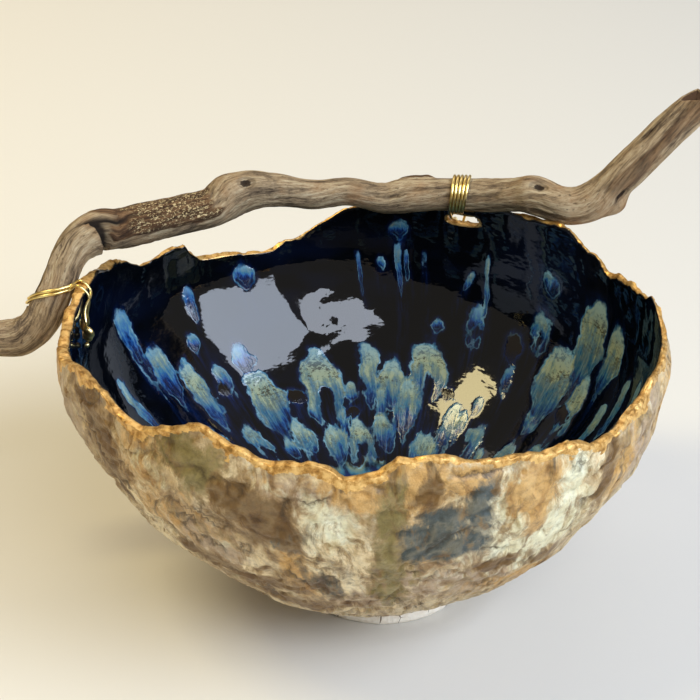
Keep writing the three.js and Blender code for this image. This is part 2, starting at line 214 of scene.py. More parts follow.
class Vertices:
    """A mesh's vertex places, normals and fields, read and written as whole arrays."""

    @staticmethod
    def places(mesh: bpy.types.Mesh) -> np.ndarray:
        """Vertex places as an N x 3 array."""
        flat = np.zeros(len(mesh.vertices) * 3)
        mesh.vertices.foreach_get("co", flat)
        return flat.reshape(-1, 3)

    @staticmethod
    def normals(mesh: bpy.types.Mesh) -> np.ndarray:
        """Vertex normals as an N x 3 array."""
        flat = np.zeros(len(mesh.vertices) * 3)
        mesh.vertex_normals.foreach_get("vector", flat)
        return flat.reshape(-1, 3)

    @staticmethod
    def move(mesh: bpy.types.Mesh, places: np.ndarray) -> None:
        """Put each vertex at its place."""
        mesh.vertices.foreach_set("co", places.reshape(-1))
        mesh.update()

    @staticmethod
    def write(mesh: bpy.types.Mesh, name: str, values: np.ndarray) -> None:
        """Keep a number or a vector for each vertex under a name.

        Args:
            mesh: The mesh to write to.
            name: The attribute's name.
            values: N numbers, or N x 3 for vectors.
        """
        is_vector = values.ndim == 2
        kept = mesh.attributes.new(name, "FLOAT_VECTOR" if is_vector else "FLOAT", "POINT")
        kept.data.foreach_set("vector" if is_vector else "value", values.reshape(-1).astype(np.float32))


def grid_tube(rows: int, around: int) -> bmesh.types.BMesh:
    """Spin an upright line of vertices into a closed-on-itself grid on a cylinder of radius one.

    Each vertex's height is the number of its row, and its azimuth that of its column, so a form is
    given to the grid by moving its vertices to where the row and azimuth belong.

    Args:
        rows: Number of rows of vertices.
        around: Number of columns.

    Returns:
        The grid, its faces pointing out.
    """
    bm = bmesh.new()
    line = [bm.verts.new((1, 0, row)) for row in range(rows)]
    edges = [bm.edges.new(pair) for pair in zip(line, line[1:])]
    bmesh.ops.spin(bm, geom=line + edges, cent=(0, 0, 0), axis=(0, 0, 1), angle=2 * math.pi,
                   steps=around, use_merge=True)
    bmesh.ops.recalc_face_normals(bm, faces=bm.faces)
    if bm.faces[0].calc_center_median().xy.dot(bm.faces[0].normal.xy) < 0:
        bmesh.ops.reverse_faces(bm, faces=bm.faces)
    return bm


def split_rings(bm: bmesh.types.BMesh, first: float, last: float) -> None:
    """Double the columns of a grid between two rows.

    Args:
        bm: A grid from grid_tube.
        first: Lowest row to split.
        last: Highest row to split.
    """
    ring = [e for e in bm.edges if abs(e.verts[0].co.z - e.verts[1].co.z) < 0.01
            and first <= e.verts[0].co.z <= last]
    bmesh.ops.subdivide_edges(bm, edges=ring, cuts=1, use_grid_fill=True)


def close_ends(bm: bmesh.types.BMesh, last: int) -> None:
    """Draw the first and the last row of a grid together, each to a point.

    Args:
        bm: A grid from grid_tube.
        last: Number of its last row.
    """
    for end in (0, last):
        bmesh.ops.pointmerge(bm, verts=[v for v in bm.verts if abs(v.co.z - end) < 0.01],
                             merge_co=(0, 0, end))


def as_object(bm: bmesh.types.BMesh, name: str) -> bpy.types.Object:
    """Turn a bmesh into a smooth-shaded object in the scene and free it.

    Args:
        bm: The finished bmesh.
        name: The object's name.

    Returns:
        The new object.
    """
    mesh = bpy.data.meshes.new(name)
    bm.to_mesh(mesh)
    bm.free()
    mesh.polygons.foreach_set("use_smooth", [True] * len(mesh.polygons))
    piece = bpy.data.objects.new(name, mesh)
    bpy.context.scene.collection.objects.link(piece)
    return piece


def stand_for(piece: bpy.types.Object, node: str) -> None:
    """Let a piece stand for a CAD node: hang it from the root body and hide the node.

    Args:
        piece: The finished piece.
        node: The CAD node that it replaces.
    """
    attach(piece, "root")
    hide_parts(node)


@dataclass(frozen=True)
class BowlForm:
    """The thrown-and-pinched body's size and curve, as in the solid it stands for."""

    rim_radius: float = 122.0
    rim_height: float = 119.0
    lean: float = -7.5
    lean_top: float = 100.0
    wall: float = 5.2
    floor_top: float = 7.5
    body_bottom: float = -4.0
    belly: float = 2.25
    flare: float = 1.25
    foot_height: float = 6.0
    flat_side: float = 5.5
    flat_azimuth: float = -38.0
    flat_spread: float = 75.0

    def curve(self, height: np.ndarray, bottom: float, radius: float) -> np.ndarray:
        """Radius at a height of the curve from the axis at bottom to radius at the rim."""
        rise = np.clip((height - bottom) / (self.rim_height - bottom), 0, 1)
        return radius * (1 - (1 - rise) ** self.belly) ** (1 / self.flare)

    def outer(self, height: np.ndarray) -> np.ndarray:
        """Outside radius at a height."""
        return self.curve(height, self.body_bottom, self.rim_radius)

    def inner(self, height: np.ndarray) -> np.ndarray:
        """Inside radius at a height."""
        return self.curve(height, self.floor_top, self.rim_radius - self.wall)

    def lean_at(self, height: np.ndarray) -> np.ndarray:
        """How far the axis leans along X at a height."""
        return self.lean * np.clip(height / self.lean_top, 0, 1) ** 2

    def pressed(self, azimuth: np.ndarray, height: np.ndarray) -> np.ndarray:
        """How far the wall is pressed in on its flatter side.

        Args:
            azimuth: Azimuth of each point.
            height: Its height.

        Returns:
            Distance towards the axis at each point.
        """
        away = np.abs(turned(azimuth, self.flat_azimuth))
        rise = np.clip(height / self.rim_height, 0, 1)
        return self.flat_side * (1 - ease(away, 0, self.flat_spread)) * np.sin(np.pi * rise ** 0.8)

    def place(self, azimuth: np.ndarray, radius: np.ndarray, height: np.ndarray) -> np.ndarray:
        """Points at azimuths and heights, each at its radius from the leaning axis.

        Args:
            azimuth: Azimuth of each point.
            radius: Its distance from the leaning axis.
            height: Its height.

        Returns:
            An N x 3 array.
        """
        places = on_drum(azimuth, radius, height)
        places[:, 0] += self.lean_at(height)
        return places

    def arc(self, height: np.ndarray, inside: bool) -> np.ndarray:
        """Length along the wall from the middle of the floor up to a height.

        Args:
            height: Height of each point.
            inside: Whether it is along the inside of the wall.

        Returns:
            One length for each height.
        """
        bottom = self.floor_top if inside else self.body_bottom
        levels = bottom + (self.rim_height + 15 - bottom) * np.linspace(0, 1, 1200) ** 1.6
        radii = self.inner(levels) if inside else self.outer(levels)
        steps = np.hypot(np.diff(radii), np.diff(levels))
        return np.interp(height, levels, np.concatenate([[0], np.cumsum(steps)]))


class Side(Enum):
    """The stretches of the wall that a row of the bowl's grid can lie on."""

    FOOT = 0
    OUTSIDE = 1
    OUTSIDE_TOP = 2
    EDGE = 3
    INSIDE_TOP = 4
    INSIDE = 5
    FLOOR = 6


@dataclass(frozen=True)
class GlazeRun:
    """One run of glaze that has flowed down the inside: a rounded head with a tail towards the middle.

    Head is the distance along the wall from the middle of the floor to the top of the head. Tone goes
    from 0, blue, to 1, sage. Hollow is how much of its width is a dark opening.
    """

    azimuth: float
    head: float
    length: float
    width: float
    tone: float = 0.7
    hollow: float = 0.0
    slant: float = 0.0


@dataclass(frozen=True)
class Wash:
    """A broad soft patch of one colour in the outside glaze, with its reach round and up the wall."""

    azimuth: float
    height: float
    wide: float
    tall: float
    strength: float = 1.0


# The runs that show, from the left wall round the back to the right wall
GLAZE_RUNS = tuple(GlazeRun(*run) for run in (
    (119, 158, 11, 11, 0.2), (82, 174, 9, 8, 0.4), (83, 164, 27, 2.6, 0.35), (81, 161, 15, 2.0, 0.05),
    (87, 157, 8, 4.2, 0.3), (77, 160, 19, 1.7, 0.0), (92, 160, 25, 1.8, 0.0), (62, 164, 30, 2.6, 0.6),
    (65, 155, 11, 3.2, 0.5, 0.0, 0.5), (46, 163, 12, 9, 0.25), (134, 155, 16, 5, 0.1),
    (126, 124, 13, 9, 0.05), (150, 138, 30, 13, 0.5), (154, 160, 46, 9, 0.1), (143, 127, 36, 10, 0.85),
    (137, 136, 9, 5.5, 0.3), (134, 121, 20, 6, 0.5), (125, 111, 34, 17, 1.0), (107, 116, 42, 19, 1.0, 0.4),
    (92, 117, 33, 9, 0.85), (86, 110, 26, 11, 0.9), (75, 120, 32, 17, 1.0, 0.25), (81, 101, 32, 13, 0.75),
    (64, 137, 18, 9, 0.15, 0.4), (74, 131, 7, 5.5, 0.1), (46, 144, 20, 12, 0.5, 0.3),
    (31, 160, 48, 18, 1.0), (22, 155, 38, 13, 0.95), (38, 134, 42, 19, 1.0), (28, 124, 34, 9, 0.9, 0.4),
    (52, 115, 15, 5, 0.15), (11, 142, 42, 5, 0.6), (4, 148, 46, 4.5, 0.6), (16, 122, 34, 5, 0.6),
    (98, 80, 26, 13, 0.9, 0.4), (108, 79, 24, 10, 0.7), (120, 86, 26, 10, 0.7, 0.35), (66, 92, 26, 8, 0.7),
    (88, 84, 20, 9, 0.7), (54, 86, 24, 7, 0.5), (72, 74, 20, 9, 0.7), (136, 92, 28, 8, 0.6, 0.4),
    (150, 98, 34, 8, 0.5), (40, 84, 24, 7, 0.6), (24, 88, 26, 7, 0.6), (99, 97, 8, 7, 0.3),
    (116, 99, 8, 9, -1), (82, 93, 9, 10, -1), (53, 131, 15, 9, -1), (99, 88, 6, 8, -1),
    (70, 100, 7, 7, -1), (136, 112, 9, 6, -1), (30, 112, 9, 7, -1),
))


@dataclass(frozen=True)
class Tear:
    """A tongue of clay left standing at the edge: it climbs to its peak and breaks off steeply."""

    peak: float
    climb: float
    drop: float
    height: float

    def above(self, azimuth: np.ndarray) -> np.ndarray:
        """How far it stands above the edge at each azimuth, climbing from the larger ones."""
        away = turned(azimuth, self.peak)
        return self.height * np.where(away > 0, 1 - ease(away, 0, self.climb), ease(-away, self.drop, 0))


TEARS = (Tear(132.4, 11, 1.3, 2.4), Tear(151, 6, 3, 1.2), Tear(108, 5, 1.5, 0.9), Tear(-41, 7, 4, 2.6),
         Tear(-77, 7, 6, 1.9), Tear(-104, 4, 2, 1.0), Tear(33, 3, 4, 1.9), Tear(26, 2, 3, 1.2),
         Tear(20, 2, 4, 1.6), Tear(10, 3, 3, 1.2))

# Patches of each colour in the outside glaze, left to right as it faces the front
WASHES = {
    "cream": ((-134, 76, 16, 13), (-120, 72, 14, 8), (-97, 87, 12, 10, 0.6), (-95, 68, 11, 12, 0.6),
              (-46, 106, 9, 8, 0.9), (12, 96, 10, 14)),
    "mauve": ((-122, 80, 14, 12, 0.8), (-101, 107, 12, 8, 0.7), (-73, 74, 12, 6, 0.7),
              (-25, 96, 12, 16, 0.8), (-81, 63, 12, 6, 0.9), (-71, 54, 20, 8, 0.9), (-92, 48, 18, 8, 0.7),
              (-160, 100, 14, 14, 0.8)),
    "mint": ((-131, 101, 7, 7), (-97, 100, 10, 10, 0.6), (-62, 90, 18, 18), (-54, 80, 18, 17),
             (-52, 99, 7, 17)),
    "ochre": ((-132, 92, 15, 17, 0.5), (-134, 114, 12, 8, 0.4), (-104, 86, 4, 10), (-105, 68, 5, 13, 0.8),
              (-90, 112, 14, 6), (-82, 112, 11, 9, 1.0), (-79, 83, 2.6, 6), (-59, 103, 9, 10),
              (-58, 94, 4, 10, 0.9), (-72, 113, 10, 5, 0.9), (-34, 94, 10, 14, 0.6), (-52, 48, 16, 5, 0.8),
              (-10, 104, 14, 12, 0.7), (24, 108, 14, 10, 0.8), (-172, 108, 14, 9, 0.8)),
    "olive": ((-124, 117, 8, 7, 0.9), (-118, 110, 8, 8, 0.95), (-86, 98, 5, 11), (-86, 78, 5.5, 15),
              (-87, 54, 5, 12, 0.8)),
    "teal": ((-105, 91, 9, 7, 0.9), (-100, 58, 7, 7, 0.5), (-79, 91, 10, 4.5), (-80, 83, 9, 4.5),
             (-73, 84, 9, 6), (-76, 97, 8, 4.5, 0.9), (-69, 101, 5, 8, 0.9)),
    "umber": ((-145, 104, 9, 16, 0.9), (-150, 118, 12, 8, 0.6), (-113, 102, 7, 8), (-107, 96, 10, 9),
              (-126, 66, 12, 4, 0.8), (-116, 57, 16, 4, 0.85), (-110, 43, 18, 4, 0.7),
              (-80, 109, 5, 5, 0.8), (-40, 98, 4, 16, 0.8), (-64, 64, 10, 3.5, 0.9), (-48, 58, 12, 3, 0.7),
              (3, 100, 6, 14, 0.8)),
}


@dataclass(frozen=True)
class ReactiveGlaze:
    """Dark rutile-and-cobalt stoneware glaze, poured inside and fired until it ran: black gloss like
    wet ink, with sage and blue runs that show where the glaze flowed over itself."""

    night: str = "#020408"
    navy: str = "#07122B"
    deep_blue: str = "#0C2658"
    blue: str = "#235592"
    teal: str = "#3F748C"
    sky: str = "#7FAEC2"
    slate: str = "#5F7A84"
    sage: str = "#788B7A"
    pale_sage: str = "#98A388"
    iron: str = "#3A2E20"
    crater: str = "#16110D"
    pit: str = "#15120F"
    roughness: float = 0.05
    edge_drift: float = 1.5
    thread: float = 1.4
    speck: float = 1.1


@dataclass(frozen=True)
class ShellGlaze:
    """Layered matt and satin glazes over torn clay, built up in flakes like bark or an oyster shell:
    cream, tan and mint patches, with painted shade darkening the hollows where one flake ends on another."""

    base_dark: str = "#93805E"
    base: str = "#C2AE8A"
    base_light: str = "#DDCBA4"
    # Hollow is painted shade: the dark brown laid in the hollows between flakes
    hollow: str = "#3B2D18"
    edge: str = "#E2CFA4"
    cream: str = "#EDDFBD"
    mint: str = "#E2E2C6"
    teal: str = "#35464C"
    ochre: str = "#C39A5A"
    umber: str = "#6A4C1E"
    olive: str = "#7C7040"
    mauve: str = "#A8937C"
    rust: str = "#A07E4C"
    marble: str = "#C4B192"
    marble_light: str = "#F4EEE2"
    patch: float = 13.0
    fleck: float = 2.4


@dataclass(frozen=True)
class GoldLustre:
    """Fired gold lustre brushed on the torn edge: a warm, slightly broken metal skin over clay."""

    bright: str = "#E6BD76"
    worn: str = "#BB8C49"
    dark: str = "#8C6832"
    roughness: float = 0.36
    inside_reach: float = 0.45
    outside_reach: float = 2.6


@dataclass(frozen=True)
class BareClay:
    """Unglazed cream stoneware with fine cracks and pits from shrinking in the fire."""

    clay: str = "#FFF8EA"
    shade: str = "#F6EBD8"
    crack: str = "#6A543C"
    roughness: float = 0.85


@dataclass(frozen=True)
class WallHole:
    """A hole torn through the wall under the edge."""

    azimuth: float
    height: float
    width: float
    tall: float

    def beyond(self, azimuth: np.ndarray, height: np.ndarray, radius: float) -> np.ndarray:
        """Rough distance outside the hole's outline.

        Args:
            azimuth: Azimuth of each point.
            height: Its height.
            radius: Radius of the wall there.

        Returns:
            The distance at each point, below zero within the hole.
        """
        across = np.radians(turned(azimuth, self.azimuth)) * radius / (self.width / 2)
        up = (height - self.height) / (self.tall / 2)
        return ((np.abs(across) ** 2.6 + np.abs(up) ** 2.6) ** (1 / 2.6) - 1) * self.tall / 2


SLOT = WallHole(68.6, 122.4, 15.0, 4.5)
TIE_HOLE = WallHole(171.0, 109.5, 6.8, 5.4)


@dataclass
class Bowl:
    """The fired bowl: flat foot, bark-like outside, torn gilded edge and dark glazed inside."""

    node: bpy.types.Object
    form: BowlForm = BowlForm()
    foot_rows: tuple = ((0.0, 0.0), (9.0, 0.0), (18.0, 0.0), (26.0, 0.0), (30.6, 0.0), (31.9, 0.5),
                        (32.5, 1.6), (32.6, 3.0), (32.3, 4.4), (31.9, 5.6), (31.2, 6.2))
    outside_rows: int = 84
    inside_rows: int = 72
    top_rows: int = 14
    edge_rows: int = 9
    columns: int = 200
    top_band: float = 12.6
    lip: float = 1.3
    thin_edge: float = 2.1
    thick_left: float = 2.9
    thick_front: float = 1.6
    left_azimuth: float = 178.0
    front_azimuth: float = -90.0
    pattern_out: float = 85.0
    pattern_in: float = 60.0

    def __post_init__(self) -> None:
        """Lay out the rows and read the torn edge's height from the solid."""
        self.rows = self._rows()
        self.edge_azimuths, self.edge_heights = self._torn_edge()

    def _rows(self) -> list[tuple[Side, float, float]]:
        """Lay out the rows of the grid.

        Returns:
            Side and two numbers of each row, from the middle of the foot round the edge to the floor.
        """
        depths = np.linspace(self.top_band, self.lip, self.top_rows)
        turns = np.linspace(0, math.pi, self.edge_rows + 2)[1:-1]
        rows = [(Side.FOOT, radius, height) for radius, height in self.foot_rows]
        rows += [(Side.OUTSIDE, (i / self.outside_rows) ** 1.2, 0) for i in range(1, self.outside_rows)]
        rows += [(Side.OUTSIDE_TOP, depth, 0) for depth in depths]
        rows += [(Side.EDGE, turn, 0) for turn in turns]
        rows += [(Side.INSIDE_TOP, depth, 0) for depth in depths[::-1]]
        rows += [(Side.INSIDE, (i / self.inside_rows) ** 1.5, 0) for i in range(self.inside_rows - 1, 0, -1)]
        return rows + [(Side.FLOOR, 0, 0)]

    def _torn_edge(self) -> tuple[np.ndarray, np.ndarray]:
        """Find the highest vertex in each sector of the solid.

        Returns:
            Azimuth of each sector's middle, and the height there.
        """
        places = Vertices.places(self.node.data) / MM
        azimuths = np.degrees(np.arctan2(places[:, 1], places[:, 0] - self.form.lean)) % 360
        sector = 3.0
        middles = np.arange(0, 360, sector)
        heights = [places[np.abs(turned(azimuths, middle)) < sector / 4, 2].max() for middle in middles]
        return middles, np.array(heights)

    def edge_height(self, azimuth: np.ndarray, across: np.ndarray) -> np.ndarray:
        """Height of the torn edge, with its small tears.

        Args:
            azimuth: Azimuth of each point.
            across: Its place across the edge, from 0 inside to 1 outside.

        Returns:
            One height for each point.
        """
        base = np.interp(azimuth, self.edge_azimuths, self.edge_heights, period=360)
        ring = on_drum(azimuth, self.form.rim_radius + 9 * across, 0)
        level = 3.6 * layered_noise(ring / 17, 2, SEED + 1)
        whole = np.floor(level)
        torn = 0.85 * (whole + ease(level - whole, 0.3, 0.6) + 0.5)
        nibbled = 0.35 * layered_noise(ring / 8, 1, SEED + 2)
        return base + torn + nibbled + sum(tear.above(azimuth) for tear in TEARS)

    def edge_wall(self, azimuth: np.ndarray) -> np.ndarray:
        """Thickness of the wall at its torn edge: thin at the back, thick at the left.

        Args:
            azimuth: Azimuth of each point.

        Returns:
            One thickness for each point.
        """
        left = np.abs(turned(azimuth, self.left_azimuth))
        front = np.abs(turned(azimuth, self.front_azimuth))
        ring = on_drum(azimuth, self.form.rim_radius, self.form.rim_radius)
        wall = self.thin_edge + self.thick_left * ease(left, 33, 9) + self.thick_front * ease(front, 95, 40)
        return wall + 0.9 * layered_noise(ring / 12, 2, SEED + 6)

    def build(self) -> bpy.types.Object:
        """Make the whole wall as one closed mesh, with the fields that its glazes read.

        Returns:
            The bowl.
        """
        first_wall = len(self.foot_rows)
        top = first_wall + self.outside_rows - 1
        edge_end = top + 2 * self.top_rows + self.edge_rows
        bm = grid_tube(len(self.rows), self.columns)
        split_rings(bm, first_wall + 14, edge_end + self.inside_rows - 22)
        split_rings(bm, top, edge_end)
        close_ends(bm, len(self.rows) - 1)
        piece = as_object(bm, "stoneware_bowl")
        self._shape(piece.data)
        self._tear_holes(piece.data)
        self._dress(piece)
        return piece

    def _tear_holes(self, mesh: bpy.types.Mesh) -> None:
        """Open the slot under the back rim and the small hole behind the tie.

        Args:
            mesh: The shaped wall.
        """
        bm = bmesh.new()
        bm.from_mesh(mesh)
        for hole in (SLOT, TIE_HOLE):
            middles = np.array([f.calc_center_median() for f in bm.faces]) / MM
            azimuths = np.degrees(np.arctan2(middles[:, 1], middles[:, 0] - self.form.lean_at(middles[:, 2])))
            within = hole.beyond(azimuths, middles[:, 2], self.middle_radius) < 0
            gone = [face for face, cut in zip(bm.faces, within) if cut]
            bmesh.ops.delete(bm, geom=gone, context="FACES")
            torn = [e for e in bm.edges if e.is_boundary]
            bmesh.ops.smooth_vert(bm, verts=list({v for e in torn for v in e.verts}), factor=0.5,
                                  use_axis_x=True, use_axis_y=True, use_axis_z=True)
            bmesh.ops.bridge_loops(bm, edges=torn)
        for face in bm.faces:
            face.smooth = True
        bm.to_mesh(mesh)
        bm.free()

    @property
    def middle_radius(self) -> float:
        """Radius in the middle of the wall at the rim."""
        return self.form.rim_radius - self.form.wall / 2

    def _shape(self, mesh: bpy.types.Mesh) -> None:
        """Move the grid's vertices to the wall, tear the edge and press in the relief.

        Args:
            mesh: The grid, whose heights are the numbers of its rows.
        """
        form = self.form
        grid = Vertices.places(mesh)
        azimuth = np.degrees(np.arctan2(grid[:, 1], grid[:, 0]))
        row = np.clip(np.rint(grid[:, 2]).astype(int), 0, len(self.rows) - 1)
        side = np.array([r[0].value for r in self.rows])[row]
        first = np.array([r[1] for r in self.rows])[row]
        second = np.array([r[2] for r in self.rows])[row]
        lies = {stretch: side == stretch.value for stretch in Side}
        foot, floor, on_edge = lies[Side.FOOT], lies[Side.FLOOR], lies[Side.EDGE]
        outside = lies[Side.OUTSIDE] | lies[Side.OUTSIDE_TOP]
        inside = lies[Side.INSIDE] | lies[Side.INSIDE_TOP]
        near_top = lies[Side.OUTSIDE_TOP] | lies[Side.INSIDE_TOP]

        # Heights, then radii
        across = 0.5 * (1 + np.cos(first))
        outness = np.where(on_edge, across, outside.astype(float))
        edge = self.edge_height(azimuth, outness)
        bottom = np.where(outside, form.foot_height, form.floor_top)
        height = bottom + (edge - self.top_band - bottom) * first
        height = np.where(near_top, edge - first, height)
        height = np.where(on_edge, edge - self.lip + self.lip * np.sin(first) ** 0.6, height)
        height = np.where(foot, second, np.where(floor, form.floor_top, height))
        edge_wall = self.edge_wall(azimuth)
        thinner = (form.wall - edge_wall) * ease(height, edge - 11, edge - self.lip)
        radius = np.where(outside, form.outer(height) - thinner, form.inner(height))
        inner = form.inner(edge - self.lip)
        radius = np.where(on_edge, inner + edge_wall * across, radius)
        radius -= form.pressed(azimuth, height)
        radius = np.where(foot, first, np.where(floor, 0, radius))

        # Where each point lies in the patterns, which follow the wall's outside and inside
        arc = form.arc(height, inside=True)
        drum = on_drum(azimuth, self.pattern_out, form.arc(height, inside=False))
        well = on_drum(azimuth, self.pattern_in, arc)
        ring = drum * np.array([1, 1, 0])
        wander = 1.6 * layered_noise(ring / 22, 3, SEED + 3) * ease(height, edge - 34, edge)
        radius = np.where(foot | floor, radius, radius + wander)
        foot_wobble = 0.5 * layered_noise(ring / 14, 3, SEED + 4)
        radius = np.where(foot & (first > 20), radius + foot_wobble, radius)
        places = form.place(azimuth, radius, height)
        Vertices.move(mesh, places * MM)

        # Relief along the normals
        over_edge = self.lip * (1 - np.sin(np.where(on_edge, first, 0)))
        depth = np.where(outside | inside, edge - height, over_edge)
        level, relief_out = self._flakes(drum, height, edge)
        runs = self._runs(azimuth, height, well)
        relief_in = self._ripples(well, azimuth, arc) + 0.2 * ease(-runs["run_distance"], -0.5, 2.0)
        relief = relief_out * outness + relief_in * (1 - outness)
        relief += 0.4 * layered_noise(places / 3.6, 2, SEED + 7) * ease(edge - height, 5, 0.5) * outness
        relief = np.where(foot, 0, relief)
        Vertices.move(mesh, (places + Vertices.normals(mesh) * relief[:, None]) * MM)

        around_hole = SLOT.beyond(azimuth, height, self.middle_radius)
        depth = np.where(foot | floor, 100.0, np.minimum(depth, np.abs(around_hole) + 0.1))
        fields = {"flow": well, "shell": drum, "level": level, "edge_depth": depth,
                  "bare_foot": foot.astype(float)}
        for name, values in (fields | runs | self._washes(azimuth, height)).items():
            Vertices.write(mesh, name, values)
        out = (outness > 0.5) | foot
        slots = [0 if out[p.vertices[0]] and out[p.vertices[-1]] else 1 for p in mesh.polygons]
        mesh.polygons.foreach_set("material_index", slots)

    def _flakes(self, drum: np.ndarray, height: np.ndarray,
                edge: np.ndarray) -> tuple[np.ndarray, np.ndarray]:
        """Overlapping flakes of the outside.

        Args:
            drum: Each point's place in the outside's pattern.
            height: Its height.
            edge: Height of the torn edge above it.

        Returns:
            Which layer each point is on, and how far it stands out.
        """
        stretched = drum * np.array([1 / 19, 1 / 19, 1 / 24])
        warp = np.stack([layered_noise(stretched * 1.6 + 5, 3, SEED + 5 + i) for i in range(3)], axis=1)
        level = 2.6 * layered_noise(stretched + 0.75 * warp, 3, SEED + 9) + 0.25
        part = (level + 0.45) % 1
        shingle = 0.5 * (1 - part) * ease(part, 0.0, 0.2) - 1.3 * ease(np.abs(part - 0.5), 0.22, 0)
        rough = 0.35 * layered_noise(drum / 4.5, 3, SEED + 12)
        lumps = 2.6 * layered_noise(drum / 24, 3, SEED + 13)
        fade = ease(height, self.form.foot_height, self.form.foot_height + 16)
        near_edge = 0.45 + 0.55 * ease(edge - height, 0, 8)
        return level, (shingle + rough + lumps - 0.2) * (0.2 + 0.8 * fade) * near_edge

    def _ripples(self, well: np.ndarray, azimuth: np.ndarray, arc: np.ndarray) -> np.ndarray:
        """Finger-pressed unevenness of the inside, strongest where the glaze puckered at the back.

        Args:
            well: Each point's place in the inside's pattern.
            azimuth: Its azimuth.
            arc: Its distance along the wall from the middle of the floor.

        Returns:
            How far each point stands out.
        """
        broad = 0.6 * layered_noise(well / 26, 2, SEED + 20)
        small = 0.13 * layered_noise(well / 8, 2, SEED + 22)
        puckered = ease(np.abs(azimuth - 96), 16, 7) * ease(np.abs(arc - 128), 20, 9)
        folds = 0.6 * layered_noise(well / 6.5, 2, SEED + 23) + 0.4 * noise(well / 4, SEED + 24)
        small = small + puckered * folds
        return (broad + small) * ease(arc, 0, 20)

    def _runs(self, azimuth: np.ndarray, height: np.ndarray, well: np.ndarray) -> dict[str, np.ndarray]:
        """Find the nearest run of glaze for each point.

        Args:
            azimuth: Azimuth of each point.
            height: Its height.
            well: Its place in the inside's pattern.

        Returns:
            Distance to the run, how far down it the point is, its tone, and the blue trails.
        """
        arc = well[:, 2]
        local = np.maximum(self.form.inner(height), 4)
        sway = 3.4 * layered_noise(well / 14, 3, SEED + 25)
        sag = 3.4 * layered_noise(well / 13, 3, SEED + 26)
        distance = np.full(len(arc), 40.0)
        along = np.zeros(len(arc))
        tone = np.full(len(arc), 0.5)
        trail = np.zeros(len(arc))
        for run in GLAZE_RUNS + self._hidden_runs():
            down = run.head - arc + sag * min(1, run.width / 8)
            across = (np.radians(turned(azimuth, run.azimuth)) * local - run.slant * down
                      + sway * min(1, run.width / 8))
            half = run.width / 2
            head = min(0.9 * run.width, 0.5 * run.length)
            taper = np.clip((down - head) / (run.length - head), 0, 1)
            gap = np.where(down < head, np.hypot(across, (head - down) * half / head) - half,
                           np.abs(across) - half * (1 - taper ** 1.5))
            gap = np.where(down > run.length, np.hypot(across, down - run.length), gap)
            if run.hollow:
                hole = half * run.hollow
                start = 0.4 * run.length
                opening = np.where(down < start + hole, np.hypot(across, start + hole - down) - hole,
                                   np.abs(across) - hole)
                gap = np.maximum(gap, -opening)
            gap = gap * np.clip(7 / run.width, 1, 2.6)
            nearer = gap < distance
            distance = np.where(nearer, gap, distance)
            along = np.where(nearer, np.clip(down / run.length, 0, 1.4), along)
            tone = np.where(nearer, run.tone, tone)
            flowed = ease(down, 0.25 * run.length, 0.7 * run.length)
            flowed = flowed * ease(down, 2.4 * run.length, run.length)
            trail = np.maximum(trail, flowed * np.exp(-(across / (0.7 * half + 0.8)) ** 2))
        return {"run_distance": distance, "run_along": along, "run_tone": tone, "run_trail": trail,
                "well_arc": arc}

    def _hidden_runs(self) -> tuple[GlazeRun, ...]:
        """Runs of the front wall's inside, in keeping with the ones that show, and small ones among those.

        Returns:
            The same runs each time.
        """
        random = np.random.default_rng(SEED)
        runs = []
        for head_low, head_high, spacing in ((70, 90, 17), (98, 122, 15), (126, 150, 26)):
            for azimuth in np.arange(162, 358, spacing):
                runs.append(GlazeRun(azimuth + random.uniform(-5, 5), random.uniform(head_low, head_high),
                                     random.uniform(20, 40), random.uniform(5, 14),
                                     random.uniform(0.2, 1), random.choice([0, 0, 0.4])))
        for azimuth in np.arange(24, 158, 8):
            runs.append(GlazeRun(azimuth + random.uniform(-3, 3), random.uniform(68, 104),
                                 random.uniform(9, 18), random.uniform(4, 7), random.uniform(0.3, 1)))
        return tuple(runs)

    def _washes(self, azimuth: np.ndarray, height: np.ndarray) -> dict[str, np.ndarray]:
        """Lay the patches of the outside glaze, the listed ones and others round the back.

        Args:
            azimuth: Azimuth of each point.
            height: Its height.

        Returns:
            Strength of each patch colour.
        """
        random = np.random.default_rng(SEED + 1)
        washes = {colour: [Wash(*wash) for wash in listed] for colour, listed in WASHES.items()}
        for middle in np.arange(36, 186, 9):
            for low in (36, 62, 86, 106):
                colour = random.choice(["mint", "ochre", "ochre", "umber", "mauve", "cream", "teal", "olive"])
                washes[colour].append(Wash(middle + random.uniform(-5, 5), low + random.uniform(0, 16),
                                           random.uniform(5, 15), random.uniform(6, 15),
                                           random.uniform(0.6, 1)))
        drum = on_drum(azimuth, self.pattern_out, height)
        shift = 5.0 * layered_noise(drum / 17, 4, SEED + 27)
        lift = 5.0 * layered_noise(drum / 17, 4, SEED + 28)
        local = np.maximum(self.form.outer(height), 20)
        fields = {colour: np.zeros(len(height)) for colour in WASHES}
        for colour, wash in [(colour, wash) for colour, laid in washes.items() for wash in laid]:
            across = np.radians(turned(azimuth, wash.azimuth)) * local + shift
            spread = (across / wash.wide) ** 2 + ((height - wash.height + lift) / wash.tall) ** 2
            fields[colour] = np.maximum(fields[colour], wash.strength * np.exp(-0.7 * spread))
        return fields

    def _dress(self, piece: bpy.types.Object) -> None:
        """Give the outside and the inside of the piece their glazes."""
        piece.data.materials.append(self._shell_material(ShellGlaze(), GoldLustre(), BareClay()))
        piece.data.materials.append(self._reactive_material(ReactiveGlaze(), GoldLustre()))

